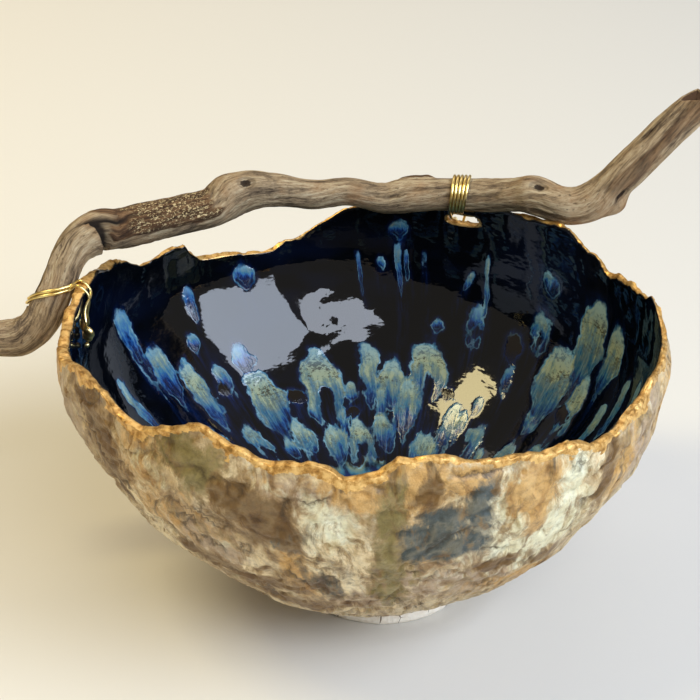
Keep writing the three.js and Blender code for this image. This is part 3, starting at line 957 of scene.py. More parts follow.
    def _gold_mask(self, add: Callable, reach: float) -> bpy.types.NodeSocket:
        """Where the gold lies: down from the edge to an uneven line.

        Args:
            add: Adds a node to the material.
            reach: How far down it comes, about.

        Returns:
            A mask, 1 on the gold.
        """
        depth = add("Attribute", out="Fac", attribute_name="edge_depth")
        shell = add("Attribute", out="Vector", attribute_name="shell")
        drift = add("TexNoise", shell, Scale=0.11, Detail=5.0, Roughness=0.6)
        line = add("MapRange", drift, 0.34, 0.7, 0.15 * reach, 2.4 * reach)
        short = add("Math.SUBTRACT", line, depth)
        return add("MapRange", short, -0.25, 0.25, interpolation_type="SMOOTHSTEP")

    def _gold_colour(self, add: Callable, gold: GoldLustre) -> bpy.types.NodeSocket:
        """Broken warm gold.

        Args:
            add: Adds a node to the material.
            gold: The lustre's colours.

        Returns:
            Its colour.
        """
        place = add("TexCoord", out="Object")
        worn = add("TexNoise", place, Scale=330.0, Detail=5.0, Roughness=0.6)
        return add("ValToRGB", worn, stops=[(0.32, gold.dark), (0.42, gold.worn), (0.56, gold.bright)])

    def _reactive_material(self, glaze: ReactiveGlaze, gold: GoldLustre) -> bpy.types.Material:
        """The inside: black gloss with runs, trails and a pool of craters in the middle.

        Args:
            glaze: The glaze's colours.
            gold: The lustre's colours.

        Returns:
            The finished material.
        """
        material, add = new_material("reactive stoneware glaze")
        flow = add("Attribute", out="Vector", attribute_name="flow")
        distance, along, tone, trail, arc = (
            add("Attribute", out="Fac", attribute_name=name)
            for name in ("run_distance", "run_along", "run_tone", "run_trail", "well_arc"))
        drawn = add("VectorMath.MULTIPLY", flow, (1, 1, 0.28))
        thread = add("VectorMath.MULTIPLY", flow, (1, 1, 0.07))

        # Fine threads of colour drawn down the wall
        threads = add("TexNoise", thread, Scale=1 / glaze.thread, Detail=5.0, Roughness=0.75, Distortion=0.4)
        threads = add("MapRange", threads, 0.46, 0.66)

        # The edge of each run wanders, and its outline is a thin pale line with a second inside it
        wander = add("VectorMath.MULTIPLY", flow, (1, 1, 0.6))
        wander = add("TexNoise", wander, Scale=0.24, Detail=3.0, Roughness=0.5)
        wander = add("MapRange", wander, 0.3, 0.7, -glaze.edge_drift, glaze.edge_drift)
        edge = add("Math.ADD", distance, wander)
        body = add("MapRange", edge, 0.2, -0.7, interpolation_type="SMOOTHSTEP")
        outline = 0.0
        for place, width, strength in ((0.0, 0.6, 1.0), (-2.0, 0.5, 0.35)):
            band = add("Math.SUBTRACT", edge, place)
            band = add("Math.ABSOLUTE", band)
            band = add("MapRange", band, width, 0.1, To_Max=strength)
            outline = add("Math.MAXIMUM", outline, band)
        patchy = add("TexNoise", drawn, Scale=0.22, Detail=4.0, Roughness=0.6)
        patchy = add("MapRange", patchy, 0.36, 0.58, 0.1, 1.0)
        outline = add("Math.MULTIPLY", outline, patchy)
        near = add("MapRange", edge, 3.0, 0.0)
        near = add("Math.POWER", near, 2.5)
        streaky = add("MapRange", threads, To_Min=0.3, To_Max=1.0)
        near = add("Math.MULTIPLY", near, streaky)

        cloud = add("TexNoise", flow, Scale=0.04, Detail=3.0)
        colour = add("ValToRGB", cloud, stops=[(0.5, glaze.night), (0.95, glaze.navy)])
        trails = add("Math.MULTIPLY", threads, trail)
        trails = add("Math.MULTIPLY", trails, 0.4)
        colour = add("Mix.RGBA", trails, colour, glaze.deep_blue)
        colour = add("Mix.RGBA", near, colour, glaze.deep_blue)

        # Inside a run: sage at the head, through teal to blue and black in the drawn-out tail
        mottle = add("TexNoise", drawn, Scale=0.4, Detail=7.0, Roughness=0.72)
        shade = add("Math.MULTIPLY_ADD", tone, 0.62, -0.34)
        shade = add("Math.MULTIPLY_ADD", mottle, 1.5, shade)
        sink = add("MapRange", along, 0.2, 0.95, To_Max=0.85)
        shade = add("Math.SUBTRACT", shade, sink)
        shade = add("Math.MULTIPLY_ADD", threads, 0.22, shade)
        run = add("ValToRGB", shade, stops=[(0.08, glaze.navy), (0.26, glaze.deep_blue), (0.42, glaze.blue),
                  (0.56, glaze.teal), (0.72, glaze.slate), (0.9, glaze.sage), (1.0, glaze.pale_sage)])
        speck = add("TexNoise", flow, Scale=1 / glaze.speck, Detail=4.0, Roughness=0.75)
        gather = add("TexNoise", flow, Scale=0.17, Detail=2.0)
        speck = add("Math.MULTIPLY_ADD", gather, 0.5, speck)
        speck = add("MapRange", speck, 0.78, 0.86, To_Max=0.85)
        in_head = add("MapRange", along, 0.6, 0.3)
        speck = add("Math.MULTIPLY", speck, in_head)
        speck = add("Math.MULTIPLY", speck, tone)
        run = add("Mix.RGBA", speck, run, glaze.iron)
        cap = add("MapRange", along, 0.26, 0.02, To_Max=0.5)
        run = add("Mix.RGBA", cap, run, glaze.sky)
        thin = add("MapRange", along, 1.0, 0.3)
        split = add("Math.MULTIPLY_ADD", threads, 0.55, thin, use_clamp=True)
        body = add("Math.MULTIPLY", body, split)
        colour = add("Mix.RGBA", body, colour, run)
        lined = add("MapRange", along, 0.25, 0.95, 0.95, 0.4)
        crater = add("MapRange", tone, -0.2, -0.6)
        dark = add("Math.MULTIPLY", crater, body)
        colour = add("Mix.RGBA", dark, colour, glaze.crater)
        glazed = add("Math.SUBTRACT", 1.0, crater)
        lined = add("Math.MULTIPLY", lined, glazed)
        outline = add("Math.MULTIPLY", outline, lined)
        rind = add("ValToRGB", mottle, stops=[(0.36, glaze.blue), (0.46, glaze.teal), (0.56, glaze.sky)])
        colour = add("Mix.RGBA", outline, colour, rind)

        # The pool: pale glaze round dark craters where it boiled and settled
        cells = add("TexVoronoi", flow, Scale=0.1, out="Distance")
        cells = add("Math.MULTIPLY_ADD", wander, 0.09, cells)
        pool = add("ValToRGB", cells, stops=[(0.2, glaze.pit), (0.3, glaze.iron), (0.35, glaze.sky),
                   (0.42, glaze.sage), (0.62, glaze.teal), (0.85, glaze.deep_blue)])
        in_pool = add("Math.MULTIPLY_ADD", wander, 3.0, arc)
        in_pool = add("MapRange", in_pool, 60.0, 55.0)
        colour = add("Mix.RGBA", in_pool, colour, pool)

        mask = self._gold_mask(add, gold.inside_reach)
        leaf = self._gold_colour(add, gold)
        colour = add("Mix.RGBA", mask, colour, leaf)
        rough = add("MapRange", mask, To_Min=glaze.roughness, To_Max=gold.roughness)
        swell = add("Math.ADD", body, outline)
        ripple = add("TexNoise", flow, Scale=0.22, Detail=2.0)
        swell = add("Math.MULTIPLY_ADD", ripple, 1.4, swell)
        bump = add("Bump", Height=swell, Strength=0.3, Distance=0.25 * MM)
        metal = add("Math.MULTIPLY", mask, 0.7)
        shader = add("BsdfPrincipled", Base_Color=colour, Roughness=rough, Metallic=metal, Normal=bump,
                     IOR=1.52)
        add("OutputMaterial", shader)
        return material

    def _shell_material(self, glaze: ShellGlaze, gold: GoldLustre, clay: BareClay) -> bpy.types.Material:
        """The outside: flaky layered glazes with painted shade in their hollows, gold at the edge and bare
        clay on the foot.

        Args:
            glaze: The glaze's colours.
            gold: The lustre's colours.
            clay: The bare foot's colours.

        Returns:
            The finished material.
        """
        material, add = new_material("layered shell glaze")
        shell = add("Attribute", out="Vector", attribute_name="shell")
        level = add("Attribute", out="Fac", attribute_name="level")
        place = add("TexCoord", out="Object")
        fine = add("TexNoise", place, Scale=360.0, Detail=6.0, Roughness=0.65)
        drips = add("VectorMath.MULTIPLY", shell, (1, 1, 0.4))

        # The glaze lies in folds, paler on their crests, with painted shade, a soft dark brown, between them
        uneven = add("Math.MULTIPLY_ADD", fine, 0.9, level)
        part = add("Math.PINGPONG", uneven, 0.5)
        hollow = add("MapRange", part, 0.25, 0.5)
        raised = add("MapRange", part, 0.3, 0.0, To_Max=0.12)
        kept = add("TexNoise", shell, Scale=0.05, Detail=3.0)
        kept = add("MapRange", kept, 0.48, 0.62)

        patch = add("TexNoise", drips, Scale=1 / glaze.patch, Detail=6.0, Roughness=0.65, Distortion=1.0)
        colour = add("ValToRGB", patch, stops=[(0.33, glaze.base_dark), (0.46, glaze.base),
                     (0.6, glaze.base_light)])
        for pattern, name in enumerate(WASHES):
            strength = add("Attribute", out="Fac", attribute_name=name)
            broken = add("TexNoise", drips, Scale=0.14, Detail=7.0, Roughness=0.7, Distortion=1.3,
                         W=float(pattern), noise_dimensions="4D")
            reach = add("Math.MULTIPLY_ADD", broken, 2.1, strength)
            if name in ("umber", "teal", "olive"):
                fringe = add("MapRange", reach, 1.1, 1.3, To_Max=0.5)
                colour = add("Mix.RGBA", fringe, colour, glaze.rust)
            reach = add("MapRange", reach, 1.15, 1.5, To_Max=0.94)
            colour = add("Mix.RGBA", reach, colour, getattr(glaze, name))
        marble = add("TexNoise", drips, Scale=0.09, Detail=5.0, Roughness=0.65, Distortion=1.6)
        marble = add("ValToRGB", marble, stops=[(0.32, glaze.marble), (0.46, glaze.marble_light), (0.6, 1.0)])
        colour = add("Mix.RGBA", 1.0, colour, marble, blend_type="MULTIPLY")
        fleck = add("TexNoise", shell, Scale=1 / glaze.fleck, Detail=6.0, Roughness=0.72)
        fleck = add("ValToRGB", fleck, stops=[(0.34, 0.74), (0.48, 1.0), (0.64, 1.16)])
        colour = add("Mix.RGBA", 1.0, colour, fleck, blend_type="MULTIPLY")
        colour = add("Mix.RGBA", raised, colour, glaze.edge)
        # Painted shade: darken the hollows between the folds towards the hollow colour, broken up by noise
        crevice_shade = add("Math.POWER", hollow, 1.5)
        crevice_shade = add("Math.MULTIPLY", crevice_shade, 0.8)
        crevice_shade = add("Math.MULTIPLY", crevice_shade, kept)
        colour = add("Mix.RGBA", crevice_shade, colour, glaze.hollow)

        # Bare clay of the foot, with shrinkage cracks
        foot = add("Attribute", out="Fac", attribute_name="bare_foot")
        grit = add("TexNoise", place, Scale=420.0, Detail=4.0)
        bare = add("ValToRGB", grit, stops=[(0.3, clay.shade), (0.6, clay.clay)])
        web = add("TexVoronoi", place, Scale=110.0, out="Distance", feature="DISTANCE_TO_EDGE")
        rift = add("TexNoise", place, Scale=60.0, Detail=2.0)
        rift = add("MapRange", rift, 0.47, 0.62, To_Max=0.035)
        rift = add("Math.LESS_THAN", web, rift)
        bare = add("Mix.RGBA", rift, bare, clay.crack)
        colour = add("Mix.RGBA", foot, colour, bare)

        mask = self._gold_mask(add, gold.outside_reach)
        leaf = self._gold_colour(add, gold)
        colour = add("Mix.RGBA", mask, colour, leaf)
        rough = add("MapRange", fine, 0.3, 0.7, 0.3, 0.58)
        rough = add("Mix", foot, rough, clay.roughness)
        metal = add("Math.MULTIPLY", mask, 0.6)
        step = add("Math.MULTIPLY", part, -0.6)
        step = add("Math.MULTIPLY_ADD", fine, 1.3, step)
        step = add("Math.MULTIPLY_ADD", rift, -0.5, step)
        bump = add("Bump", Height=step, Strength=0.7, Distance=0.7 * MM)
        shader = add("BsdfPrincipled", Base_Color=colour, Roughness=rough, Metallic=metal, Normal=bump,
                     Specular_IOR_Level=0.4)
        add("OutputMaterial", shader)
        return material


@dataclass(frozen=True)
class Driftwood:
    """Sun-bleached branch wood, worn by water: silvery tan with long grey grain and brown cracks."""

    pale: str = "#C3B292"
    tan: str = "#A28B6A"
    grey: str = "#75634D"
    crack: str = "#3B2C1F"
    warm: str = "#C9A27C"
    bark: str = "#553C27"
    bark_dark: str = "#2B1E13"
    bark_pale: str = "#947350"
    eye: str = "#2A1D13"
    # Painted shadow in the gap just beyond the tongue's lip
    lip_shadow: str = "#1E150E"
    end_grain: str = "#4C3524"
    gallery: str = "#DCC594"
    roughness: float = 0.82


@dataclass(frozen=True)
class Knob:
    """A swelling or hollow of the wood at a place along and round the branch.

    Length is its reach along the wood and spread its reach round it, in degrees.
    """

    x: float
    turn: float
    length: float
    spread: float
    height: float


# Turns are in degrees about the wood: 0 is on top and 90 faces the front
KNOBS = tuple(Knob(*knob) for knob in (
    (-61, 48, 8, 32, 1.5), (-61, 48, 2.2, 12, -2.6), (-67, 5, 5, 55, 1.5), (-77, 8, 5, 55, -1.0),
    (14, -20, 6, 14, 1.3), (20, -24, 2.5, 12, 1.0), (64, 20, 6, 34, 1.6), (68, 38, 2.8, 15, -2.8),
    (75, 62, 7, 26, 1.4), (96, 172, 3.6, 20, 3.2), (-110, 110, 5, 40, -0.7), (-40, 170, 12, 50, -0.7),
    (40, 190, 14, 60, 0.6), (118, 40, 12, 40, -0.6), (-150, 30, 8, 50, 0.9), (88, 118, 10, 30, 0.9),
    (-22, 60, 9, 30, 0.7), (52, 120, 10, 30, -0.6), (108, 95, 6, 24, 0.8), (99, 126, 2.6, 12, -1.9),
    (121, -75, 5, 50, 1.4),
))


@dataclass
class Branch:
    """The driftwood branch, from the worn left end to the sawn right one."""

    node: bpy.types.Object
    rings: int = 620
    sides: int = 60
    cap_rings: int = 5
    cut_place: tuple = (125.6, 96.0, 182.9)
    cut_facing: tuple = (-0.2, -0.04, 0.97)
    cut_from: float = 110.0
    tongue_x: float = -122.5
    tongue_slant: float = 17.0
    tongue_turns: tuple = (24.0, 46.0)
    bark_x: float = -97.0
    bark_reach: float = 21.0
    gallery_x: float = -92.5
    gallery_reach: float = 16.0

    def __post_init__(self) -> None:
        """Find the middle line of the solid and its radius along it."""
        centres, radii = self._middle_line()
        steps = np.concatenate([[0], np.cumsum(np.linalg.norm(np.diff(centres, axis=0), axis=1))])
        self.length = steps[-1]
        self.along = np.linspace(0, self.length, self.rings)
        self.centres = np.stack([self._through(steps, centres[:, i]) for i in range(3)], axis=1)
        self.radii = self._through(steps, radii)
        self.tangents = np.gradient(self.centres, axis=0)
        self.tangents /= np.linalg.norm(self.tangents, axis=1)[:, None]
        front = np.array([0.0, -1.0, 0.0]) + self.tangents * self.tangents[:, 1:2]
        self.fronts = front / np.linalg.norm(front, axis=1)[:, None]
        self.ups = np.cross(self.fronts, self.tangents)

    def _middle_line(self) -> tuple[np.ndarray, np.ndarray]:
        """Walk the solid's rings of vertices from its left end, and average each.

        Returns:
            Middle of each ring, and its radius.
        """
        bm = bmesh.new()
        bm.from_mesh(self.node.data)
        bmesh.ops.remove_doubles(bm, verts=bm.verts, dist=0.01 * MM)
        left = min(v.co.x for v in bm.verts)
        cap = [f for f in bm.faces if f.normal.x < -0.7 and f.calc_center_median().x < left + 4 * MM]
        ring = {v for f in cap for v in f.verts}
        seen = set(ring)
        centres, radii = [], []
        while ring:
            places = np.array([v.co for v in ring]) / MM
            centre = places.mean(axis=0)
            centres.append(centre)
            radii.append(np.linalg.norm(places - centre, axis=1).mean())
            ring = {e.other_vert(v) for v in ring for e in v.link_edges} - seen
            seen |= ring
        bm.free()
        return np.array(centres), np.array(radii)

    def _through(self, steps: np.ndarray, values: np.ndarray) -> np.ndarray:
        """Smooth values between the solid's rings.

        Args:
            steps: Each ring's distance along the branch.
            values: The number that belongs to it.

        Returns:
            The number for each ring of the new mesh, on a smooth curve through those.
        """
        slopes = np.gradient(values, steps)
        at = np.clip(np.searchsorted(steps, self.along) - 1, 0, len(steps) - 2)
        span = steps[at + 1] - steps[at]
        t = (self.along - steps[at]) / span
        return ((2 * t ** 3 - 3 * t ** 2 + 1) * values[at] + (t ** 3 - 2 * t ** 2 + t) * span * slopes[at]
                + (3 * t ** 2 - 2 * t ** 3) * values[at + 1] + (t ** 3 - t ** 2) * span * slopes[at + 1])

    def build(self) -> bpy.types.Object:
        """Make the branch as one closed mesh with its knots, grain and ends.

        Returns:
            The branch.
        """
        total = self.rings + 2 * self.cap_rings
        bm = grid_tube(total, self.sides)
        close_ends(bm, total - 1)
        piece = as_object(bm, "driftwood_branch_wood")
        mesh = piece.data
        grid = Vertices.places(mesh)
        turn = np.arctan2(grid[:, 1], grid[:, 0])
        row = np.rint(grid[:, 2]).astype(int)
        ring = np.clip(row - self.cap_rings, 0, self.rings - 1)
        inset = np.maximum(self.cap_rings - row, row - (self.rings + self.cap_rings - 1))
        shrink = 1 - np.clip(inset, 0, None) / self.cap_rings
        along = self.along[ring]
        radius = self.radii[ring]
        relief, fields = self._relief(turn, along, self.centres[ring, 0], radius)
        out = self.ups[ring] * np.cos(turn)[:, None] + self.fronts[ring] * np.sin(turn)[:, None]
        places = self.centres[ring] + out * ((radius + relief) * shrink)[:, None]
        ends = np.where(row < self.cap_rings, -1, 1)
        worn = 1.1 * noise(places / 3.5, SEED + 40) + 1.5 * np.sqrt(1 - shrink ** 2)
        worn = worn * (inset > 0)
        places += self.tangents[ring] * (ends * worn * (ends < 0) + 0.35 * ends * worn * (ends > 0))[:, None]
        Vertices.move(mesh, places * MM)
        for name, values in (fields | {"end_grain": (inset > 0).astype(float)}).items():
            Vertices.write(mesh, name, values)
        self._cut_end(mesh)
        self._dress(piece)
        return piece

    def _cut_end(self, mesh: bpy.types.Mesh) -> None:
        """Cut the rising end off along a slant, close it and point the faces out.

        Args:
            mesh: The shaped branch.
        """
        bm = bmesh.new()
        bm.from_mesh(mesh)
        tip = [f for f in bm.faces if f.calc_center_median().x > self.cut_from * MM]
        edges = list({e for f in tip for e in f.edges})
        corners = list({v for f in tip for v in f.verts})
        bmesh.ops.bisect_plane(bm, geom=corners + edges + tip, clear_outer=True,
                               plane_co=Vector(self.cut_place) * MM, plane_no=self.cut_facing)
        rim = [e for e in bm.edges if e.is_boundary]
        cap = bmesh.ops.contextual_create(bm, geom=rim)["faces"]
        layer = bm.verts.layers.float["end_grain"]
        for thickness, depth, brown in ((0.7, 0.0, 0.0), (0.4, -0.4, 1.0)):
            bmesh.ops.inset_region(bm, faces=cap, thickness=thickness * MM, depth=depth * MM,
                                   use_even_offset=False)
            for vertex in {v for f in cap for v in f.verts}:
                vertex[layer] = brown
        for vertex in bmesh.ops.poke(bm, faces=cap)["verts"]:
            vertex[layer] = 1.0
        bmesh.ops.recalc_face_normals(bm, faces=bm.faces)
        bm.to_mesh(mesh)
        bm.free()
        mesh.update()

    def _relief(self, turn: np.ndarray, along: np.ndarray, x: np.ndarray,
                radius: np.ndarray) -> tuple[np.ndarray, dict[str, np.ndarray]]:
        """Work out the wood's knots, cracks, tongue, the painted shadow beside the tongue, and bark.

        Args:
            turn: Each point's turn about the wood in radians.
            along: Its distance along the branch.
            x: Its place along X.
            radius: Radius of the branch there.

        Returns:
            How far each point stands out, and the fields that the finish reads.
        """
        around = np.stack([np.cos(turn), np.sin(turn)], axis=1) * radius[:, None]
        wood = np.concatenate([around, along[:, None]], axis=1)
        twist = 0.012 * along + 0.16 * noise(wood * np.array([0.05, 0.05, 0.04]), SEED + 29)
        grain = np.stack([np.cos(turn + twist) * 7, np.sin(turn + twist) * 7, along], axis=1)
        body = 0.7 * layered_noise(wood * np.array([0.13, 0.13, 0.07]), 3, SEED + 30)
        ridges = 0.5 * (0.5 - np.abs(layered_noise(grain * np.array([0.5, 0.5, 0.05]), 3, SEED + 31)))
        furrows = layered_noise(grain * np.array([0.8, 0.8, 0.07]), 3, SEED + 32)
        relief = body + ridges - 0.8 * ease(furrows, 0.22, 0.5)
        degrees_round = np.degrees(turn)
        knot = np.full(len(turn), 60.0)
        for knob in KNOBS:
            away = turned(degrees_round, knob.turn)
            spread = ((x - knob.x) / knob.length) ** 2 + (away / knob.spread) ** 2
            relief += knob.height * np.exp(-spread)
            if knob.height < -1.5:
                knot = np.minimum(knot, np.sqrt(spread) * knob.length)

        # A tongue of wood over the front, its lip raised over the wood under it, with a painted shadow just
        # beyond the lip
        first, last = self.tongue_turns
        climb = np.clip((degrees_round - first) / (last - first), 0, 1)
        steep = self.tongue_slant * 6 * climb * (1 - climb) / np.radians(last - first) / radius
        lip = x - self.tongue_x + self.tongue_slant * (1 - ease(degrees_round, first, last))
        lip = (lip + 0.6 * noise(wood / 3, SEED + 33)) / np.hypot(1, steep)
        facing = ease(np.abs(turned(degrees_round, 90)), 82, 70)
        relief += facing * np.where(lip < 0, 1.3 * ease(lip, -9, -0.8), -1.7 * ease(lip, 6, 0.4))

        # Bark left on in ragged patches, eaten by galleries in the middle of the largest
        ragged = 7 * layered_noise(wood * np.array([0.3, 0.3, 0.07]), 4, SEED + 34)
        away = np.abs(turned(degrees_round, 34)) + 4 * ragged
        patch = ease(np.abs(x - self.bark_x + ragged) - self.bark_reach, 4, -3) * ease(away, 76, 56)
        flake = np.hypot((x - 15) / 8, (degrees_round + 24) / 17) + 0.08 * ragged
        patch = np.maximum(patch, ease(flake, 1.1, 0.8))
        eaten = ease(np.abs(x - self.gallery_x + ragged) - self.gallery_reach, 3, -2)
        galleries = patch * eaten * ease(away, 62, 46)
        relief += 0.4 * patch
        # Painted shadow: a dark band on the front just beyond the tongue's lip, fading away from it
        shaded = facing * ease(lip, -0.6, 0.1) * (0.4 * ease(lip, 7, 2.5) + 0.6 * ease(lip, 3.4, 1.8))
        arm = ease(np.abs(degrees_round - 88) + 4 * ragged, 40, 22) * ease(x, 92, 99)
        patch = np.maximum(patch, 0.5 * arm)
        return relief, {"grain": grain, "bark_patch": patch, "galleries": galleries, "knot": knot,
                        "furrow": furrows, "lip_shade": shaded}

    def _dress(self, piece: bpy.types.Object) -> None:
        """Give the branch its weathered wood.

        Args:
            piece: The finished branch.
        """
        wood = Driftwood()
        material, add = new_material("weathered driftwood")
        grain = add("Attribute", out="Vector", attribute_name="grain")
        patch, knot, furrow, lip, cut, eaten = (
            add("Attribute", out="Fac", attribute_name=name)
            for name in ("bark_patch", "knot", "furrow", "lip_shade", "end_grain", "galleries"))
        drawn = add("VectorMath.MULTIPLY", grain, (1, 1, 0.11))
        fibre = add("TexNoise", drawn, Scale=2.1, Detail=9.0, Roughness=0.8, Distortion=0.3)
        broad = add("TexNoise", drawn, Scale=0.35, Detail=5.0, Roughness=0.65, Distortion=0.6)
        cloud = add("TexNoise", grain, Scale=0.08, Detail=5.0, Roughness=0.6)
        shade = add("Math.MULTIPLY_ADD", fibre, 0.9, broad)
        shade = add("Math.MULTIPLY_ADD", cloud, 0.5, shade)
        shade = add("Math.SUBTRACT", shade, 0.55)
        colour = add("ValToRGB", shade, stops=[(0.4, wood.crack), (0.53, wood.grey), (0.66, wood.tan),
                     (0.82, wood.pale)])
        warmth = add("MapRange", cloud, 0.5, 0.7, To_Max=0.7)
        colour = add("Mix.RGBA", warmth, colour, wood.warm, blend_type="MULTIPLY")
        pits = add("VectorMath.MULTIPLY", grain, (1, 1, 0.35))
        pits = add("TexNoise", pits, Scale=1.1, Detail=6.0, Roughness=0.7)
        pits = add("MapRange", pits, 0.58, 0.66, To_Max=0.65)
        colour = add("Mix.RGBA", pits, colour, wood.crack)
        split = add("MapRange", furrow, 0.24, 0.5, To_Max=0.7)
        split = add("Math.MULTIPLY", split, fibre)
        colour = add("Mix.RGBA", split, colour, wood.crack)

        # Bark left on, eaten into short pale galleries along the grain
        worm = add("VectorMath.MULTIPLY", grain, (1.0, 1.0, 0.42))
        worm = add("TexNoise", worm, Scale=1.7, Detail=3.0, Distortion=1.1)
        worm = add("MapRange", worm, 0.54, 0.6)
        worm = add("Math.MULTIPLY", worm, eaten)
        bark = add("TexNoise", drawn, Scale=0.7, Detail=6.0, Roughness=0.7)
        bark = add("ValToRGB", bark, stops=[(0.35, wood.bark_dark), (0.5, wood.bark), (0.68, wood.bark_pale)])
        bark = add("Mix.RGBA", worm, bark, wood.gallery)
        patch = add("Math.MULTIPLY_ADD", fibre, 0.8, patch)
        patch = add("MapRange", patch, 0.72, 1.0)
        colour = add("Mix.RGBA", patch, colour, bark)

        # Knots: a dark star-cracked eye in rings
        rings = add("Math.MULTIPLY", knot, 2.6)
        rings = add("Math.MULTIPLY_ADD", fibre, 2.0, rings)
        rings = add("Math.SINE", rings)
        rings = add("MapRange", rings, -0.2, 0.8, To_Max=0.6)
        eye = add("Math.MULTIPLY_ADD", fibre, 3.0, knot)
        eye = add("MapRange", eye, 3.7, 3.2, To_Max=0.95)
        colour = add("Mix.RGBA", eye, colour, wood.eye)
        near = add("MapRange", knot, 5.5, 1.0)
        rings = add("Math.MULTIPLY", rings, near)
        colour = add("Mix.RGBA", rings, colour, wood.crack)
        # Painted shadow beside the tongue's lip
        colour = add("Mix.RGBA", lip, colour, wood.lip_shadow)
        colour = add("Mix.RGBA", cut, colour, wood.end_grain)

        height = add("Math.MULTIPLY_ADD", worm, -0.7, shade)
        height = add("Math.MULTIPLY_ADD", pits, -0.4, height)
        height = add("Math.MULTIPLY_ADD", rings, -0.7, height)
        bump = add("Bump", Height=height, Strength=0.9, Distance=0.8 * MM)
        shader = add("BsdfPrincipled", Base_Color=colour, Roughness=wood.roughness, Normal=bump,
                     Specular_IOR_Level=0.25)
        add("OutputMaterial", shader)
        piece.data.materials.append(material)


@dataclass(frozen=True)
class BrassWire:
    """Bright drawn brass: a clean yellow metal with sharp long glints."""

    metal: str = "#F6E3A2"
    dull: str = "#DCBC6C"
    roughness: float = 0.28


@dataclass
class Wires:
    """The two brass wires, made round and smooth from their solids.

    Thinning is how much of its radius a six-sided tube keeps when it is rounded off.
    """

    wire_radius: float = 0.65
    thinning: float = 0.8333
    levels: int = 2

    def build(self, node: bpy.types.Object, name: str) -> bpy.types.Object:
        """Round off a copy of a faceted wire.

        Args:
            node: The CAD node.
            name: The new piece's name.

        Returns:
            The wire.
        """
        bm = bmesh.new()
        bm.from_mesh(node.data)
        bmesh.ops.remove_doubles(bm, verts=bm.verts, dist=0.001 * MM)
        bmesh.ops.join_triangles(bm, faces=bm.faces, angle_face_threshold=math.radians(40),
                                 angle_shape_threshold=math.radians(180))
        bm.normal_update()
        grow = self.wire_radius * (1 / self.thinning - 1) * MM
        for vertex, normal in [(v, v.normal.copy()) for v in bm.verts]:
            vertex.co += normal * grow
        piece = as_object(bm, name)
        rounded = piece.modifiers.new("rounded", "SUBSURF")
        rounded.levels = rounded.render_levels = self.levels
        return piece

    def material(self) -> bpy.types.Material:
        """Make the brass of both wires.

        Returns:
            The finished material.
        """
        brass = BrassWire()
        material, add = new_material("drawn brass wire")
        place = add("TexCoord", out="Object")
        tarnish = add("TexNoise", place, Scale=300.0, Detail=3.0)
        colour = add("ValToRGB", tarnish, stops=[(0.35, brass.dull), (0.6, brass.metal)])
        shader = add("BsdfPrincipled", Base_Color=colour, Metallic=1.0, Roughness=brass.roughness)
        add("OutputMaterial", shader)
        return material


@dataclass
class Nugget:
    """A lump of melted gold-coloured metal: blobs run together.

    It fills its CAD node's box. Lumpiness is how far the blobs stand out, as a share of the radius,
    and detail is the subdivisions of the ball that it starts from.
    """

    name: str
    node: str
    blobs: int
    lumpiness: float
    detail: int

    def build(self) -> bpy.types.Object:
        """Swell a ball into run-together blobs, inside the solid's box.

        Returns:
            The lump.
        """
        low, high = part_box(self.node)
        middle, half = (low + high) / 2, (high - low) / 2
        bm = bmesh.new()
        bmesh.ops.create_icosphere(bm, subdivisions=self.detail, radius=1.0)
        random = np.random.default_rng(SEED + self.blobs)
        centres = [Vector(random.normal(size=3)).normalized() for _ in range(self.blobs)]
        for vertex in bm.verts:
            swell = max(vertex.co.dot(c) for c in centres)
            vertex.co *= 1 - self.lumpiness * (1 - max(swell, 0) ** 2)
        bmesh.ops.smooth_vert(bm, verts=bm.verts, factor=0.5, use_axis_x=True, use_axis_y=True,
                              use_axis_z=True)
        reach = [max(abs(v.co[i]) for v in bm.verts) for i in range(3)]
        bmesh.ops.scale(bm, verts=bm.verts, vec=[half[i] / reach[i] for i in range(3)])
        bmesh.ops.translate(bm, verts=bm.verts, vec=middle)
        return as_object(bm, self.name)


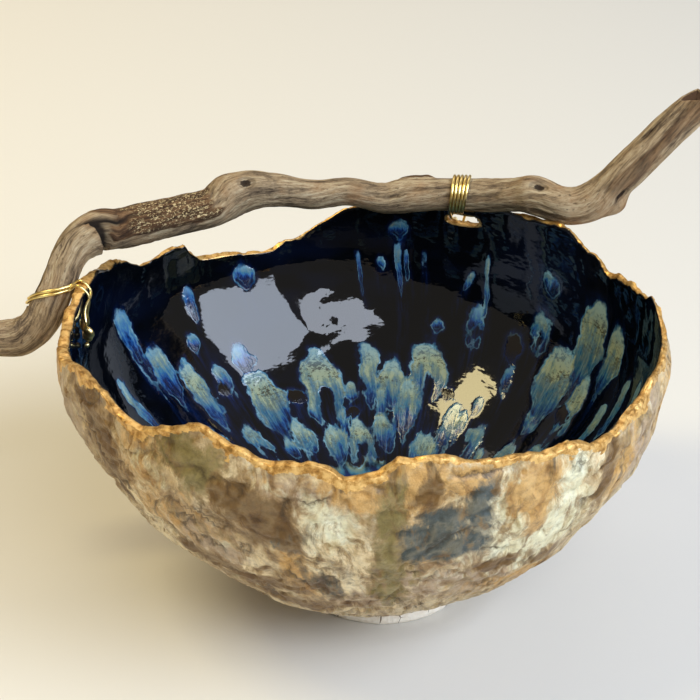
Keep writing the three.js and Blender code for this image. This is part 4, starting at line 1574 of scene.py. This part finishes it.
@dataclass
class Studio:
    """Pale floor with painted light, warmer and brighter on the left and cooler on the right, soft lights and
    the camera at the photograph's angle.

    Each light has its name, its middle, the point it faces, its width, height, brightness and colour.
    """

    camera_place: tuple = (-4.0, -775.0, 474.0)
    camera_down: float = 25.19
    camera_turn: float = 0.70
    view_width: int = 700
    focal_pixels: float = 2133.0
    sensor: float = 36.0
    # Floor colours with painted light, warm and brighter on the left, cool on the right
    floor_warm_light: str = "#EBE6D9"
    floor_cool_light: str = "#D7D9DA"
    room_colour: str = "#FFF3E0"
    room_strength: float = 0.27
    lights: tuple = (
        ("window", (2146, -1183, 1662), (-59, 92, 78), 1960, 1960, 7.8, "#E0ECFF"),
        ("second window", (629, -2113, 1836), (-6, 100, 75), 1250, 900, 7.6, "#E6EFFF"),
        ("lamp", (-1187, -310, 2078), (37, 74, 50), 560, 820, 14.0, "#FFECB0"),
        ("ceiling", (-300, 1500, 2300), (0, 0, 60), 3000, 1600, 1.25, "#FFF3E0"))

    def build(self) -> None:
        """Make the floor, the lights, the world and the camera."""
        self._floor()
        self._world()
        for light in self.lights:
            self._softbox(*light)
        self._camera()

    def _floor(self) -> None:
        """A wide pale floor that isn't part of the object, with painted light: warmer and brighter on the
        left, cooler on the right.
        """
        bm = bmesh.new()
        bmesh.ops.create_circle(bm, cap_ends=True, segments=96, radius=6.0)
        floor = as_object(bm, "floor")
        material, add = new_material("pale paper with painted light")
        place = add("TexCoord", out="Object")
        # Painted light: the paper's colour runs from a warm, brighter tone on the left to a cool one on the
        # right
        across = add("SeparateXYZ", place)
        across = add("MapRange", across, -0.3, 0.35)
        tone = add("ValToRGB", across, stops=[(0.0, self.floor_warm_light), (1.0, self.floor_cool_light)])
        shader = add("BsdfPrincipled", Base_Color=tone, Roughness=0.9, Specular_IOR_Level=0.1)
        add("OutputMaterial", shader)
        floor.data.materials.append(material)

    def _world(self) -> None:
        """Dim even light from all round."""
        world = bpy.data.worlds.new("room")
        world.use_nodes = True
        world.node_tree.nodes.clear()
        add = partial(add_node, world.node_tree)
        sky = add("Background", self.room_colour, self.room_strength)
        add("OutputWorld", sky)
        bpy.context.scene.world = world

    def _softbox(self, name: str, place: tuple, target: tuple, wide: float, tall: float,
                 radiance: float, colour: str) -> None:
        """Hang a rectangular light that faces a point.

        Args:
            name: The light's name.
            place: Its middle.
            target: The point that it faces.
            wide: Its width.
            tall: Its height.
            radiance: Its brightness seen from the front.
            colour: Its hex colour.
        """
        light = bpy.data.lights.new(name, "AREA")
        light.shape = "RECTANGLE"
        light.size, light.size_y = wide * MM, tall * MM
        light.color = linear(colour)[:3]
        light.energy = radiance * math.pi * wide * tall * MM * MM
        lamp = bpy.data.objects.new(name, light)
        lamp.location = Vector(place) * MM
        lamp.rotation_euler = (Vector(target) - Vector(place)).to_track_quat("-Z", "Y").to_euler()
        bpy.context.scene.collection.objects.link(lamp)

    def _camera(self) -> None:
        """Look down at the bowl as the photograph does."""
        lens = bpy.data.cameras.new("camera")
        lens.sensor_width = self.sensor
        lens.lens = self.sensor * self.focal_pixels / self.view_width
        lens.clip_end = 50
        camera = bpy.data.objects.new("camera", lens)
        camera.location = Vector(self.camera_place) * MM
        camera.rotation_euler = (math.radians(90 - self.camera_down), 0, math.radians(self.camera_turn))
        bpy.context.scene.collection.objects.link(camera)
        bpy.context.scene.camera = camera
        bpy.context.scene.view_settings.view_transform = "Standard"


def main() -> None:
    """Build each piece in order and say what was made."""
    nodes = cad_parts
    Studio().build()

    piece = Bowl(nodes["bowl"]).build()
    stand_for(piece, "bowl")
    log.info("bowl: %d faces", len(piece.data.polygons))

    branch = Branch(nodes["driftwood_branch"])
    piece = branch.build()
    stand_for(piece, "driftwood_branch")
    log.info("branch: %.0f mm long, %d faces", branch.length, len(piece.data.polygons))

    wires = Wires()
    brass = wires.material()
    for node in ("wrap_wire", "tie_wire"):
        piece = wires.build(nodes[node], "brass_" + node)
        piece.data.materials.append(brass)
        stand_for(piece, node)
        log.info("%s: %d faces before rounding", node, len(piece.data.polygons))

    for lump in (Nugget("nugget_of_gold", "gold_nugget", 9, 0.45, 5),
                 Nugget("bead_of_gold", "gold_bead", 4, 0.12, 4)):
        piece = lump.build()
        piece.data.materials.append(brass)
        stand_for(piece, lump.node)
        log.info("%s: %d faces", lump.node, len(piece.data.polygons))


if __name__ == "__main__":
    main()
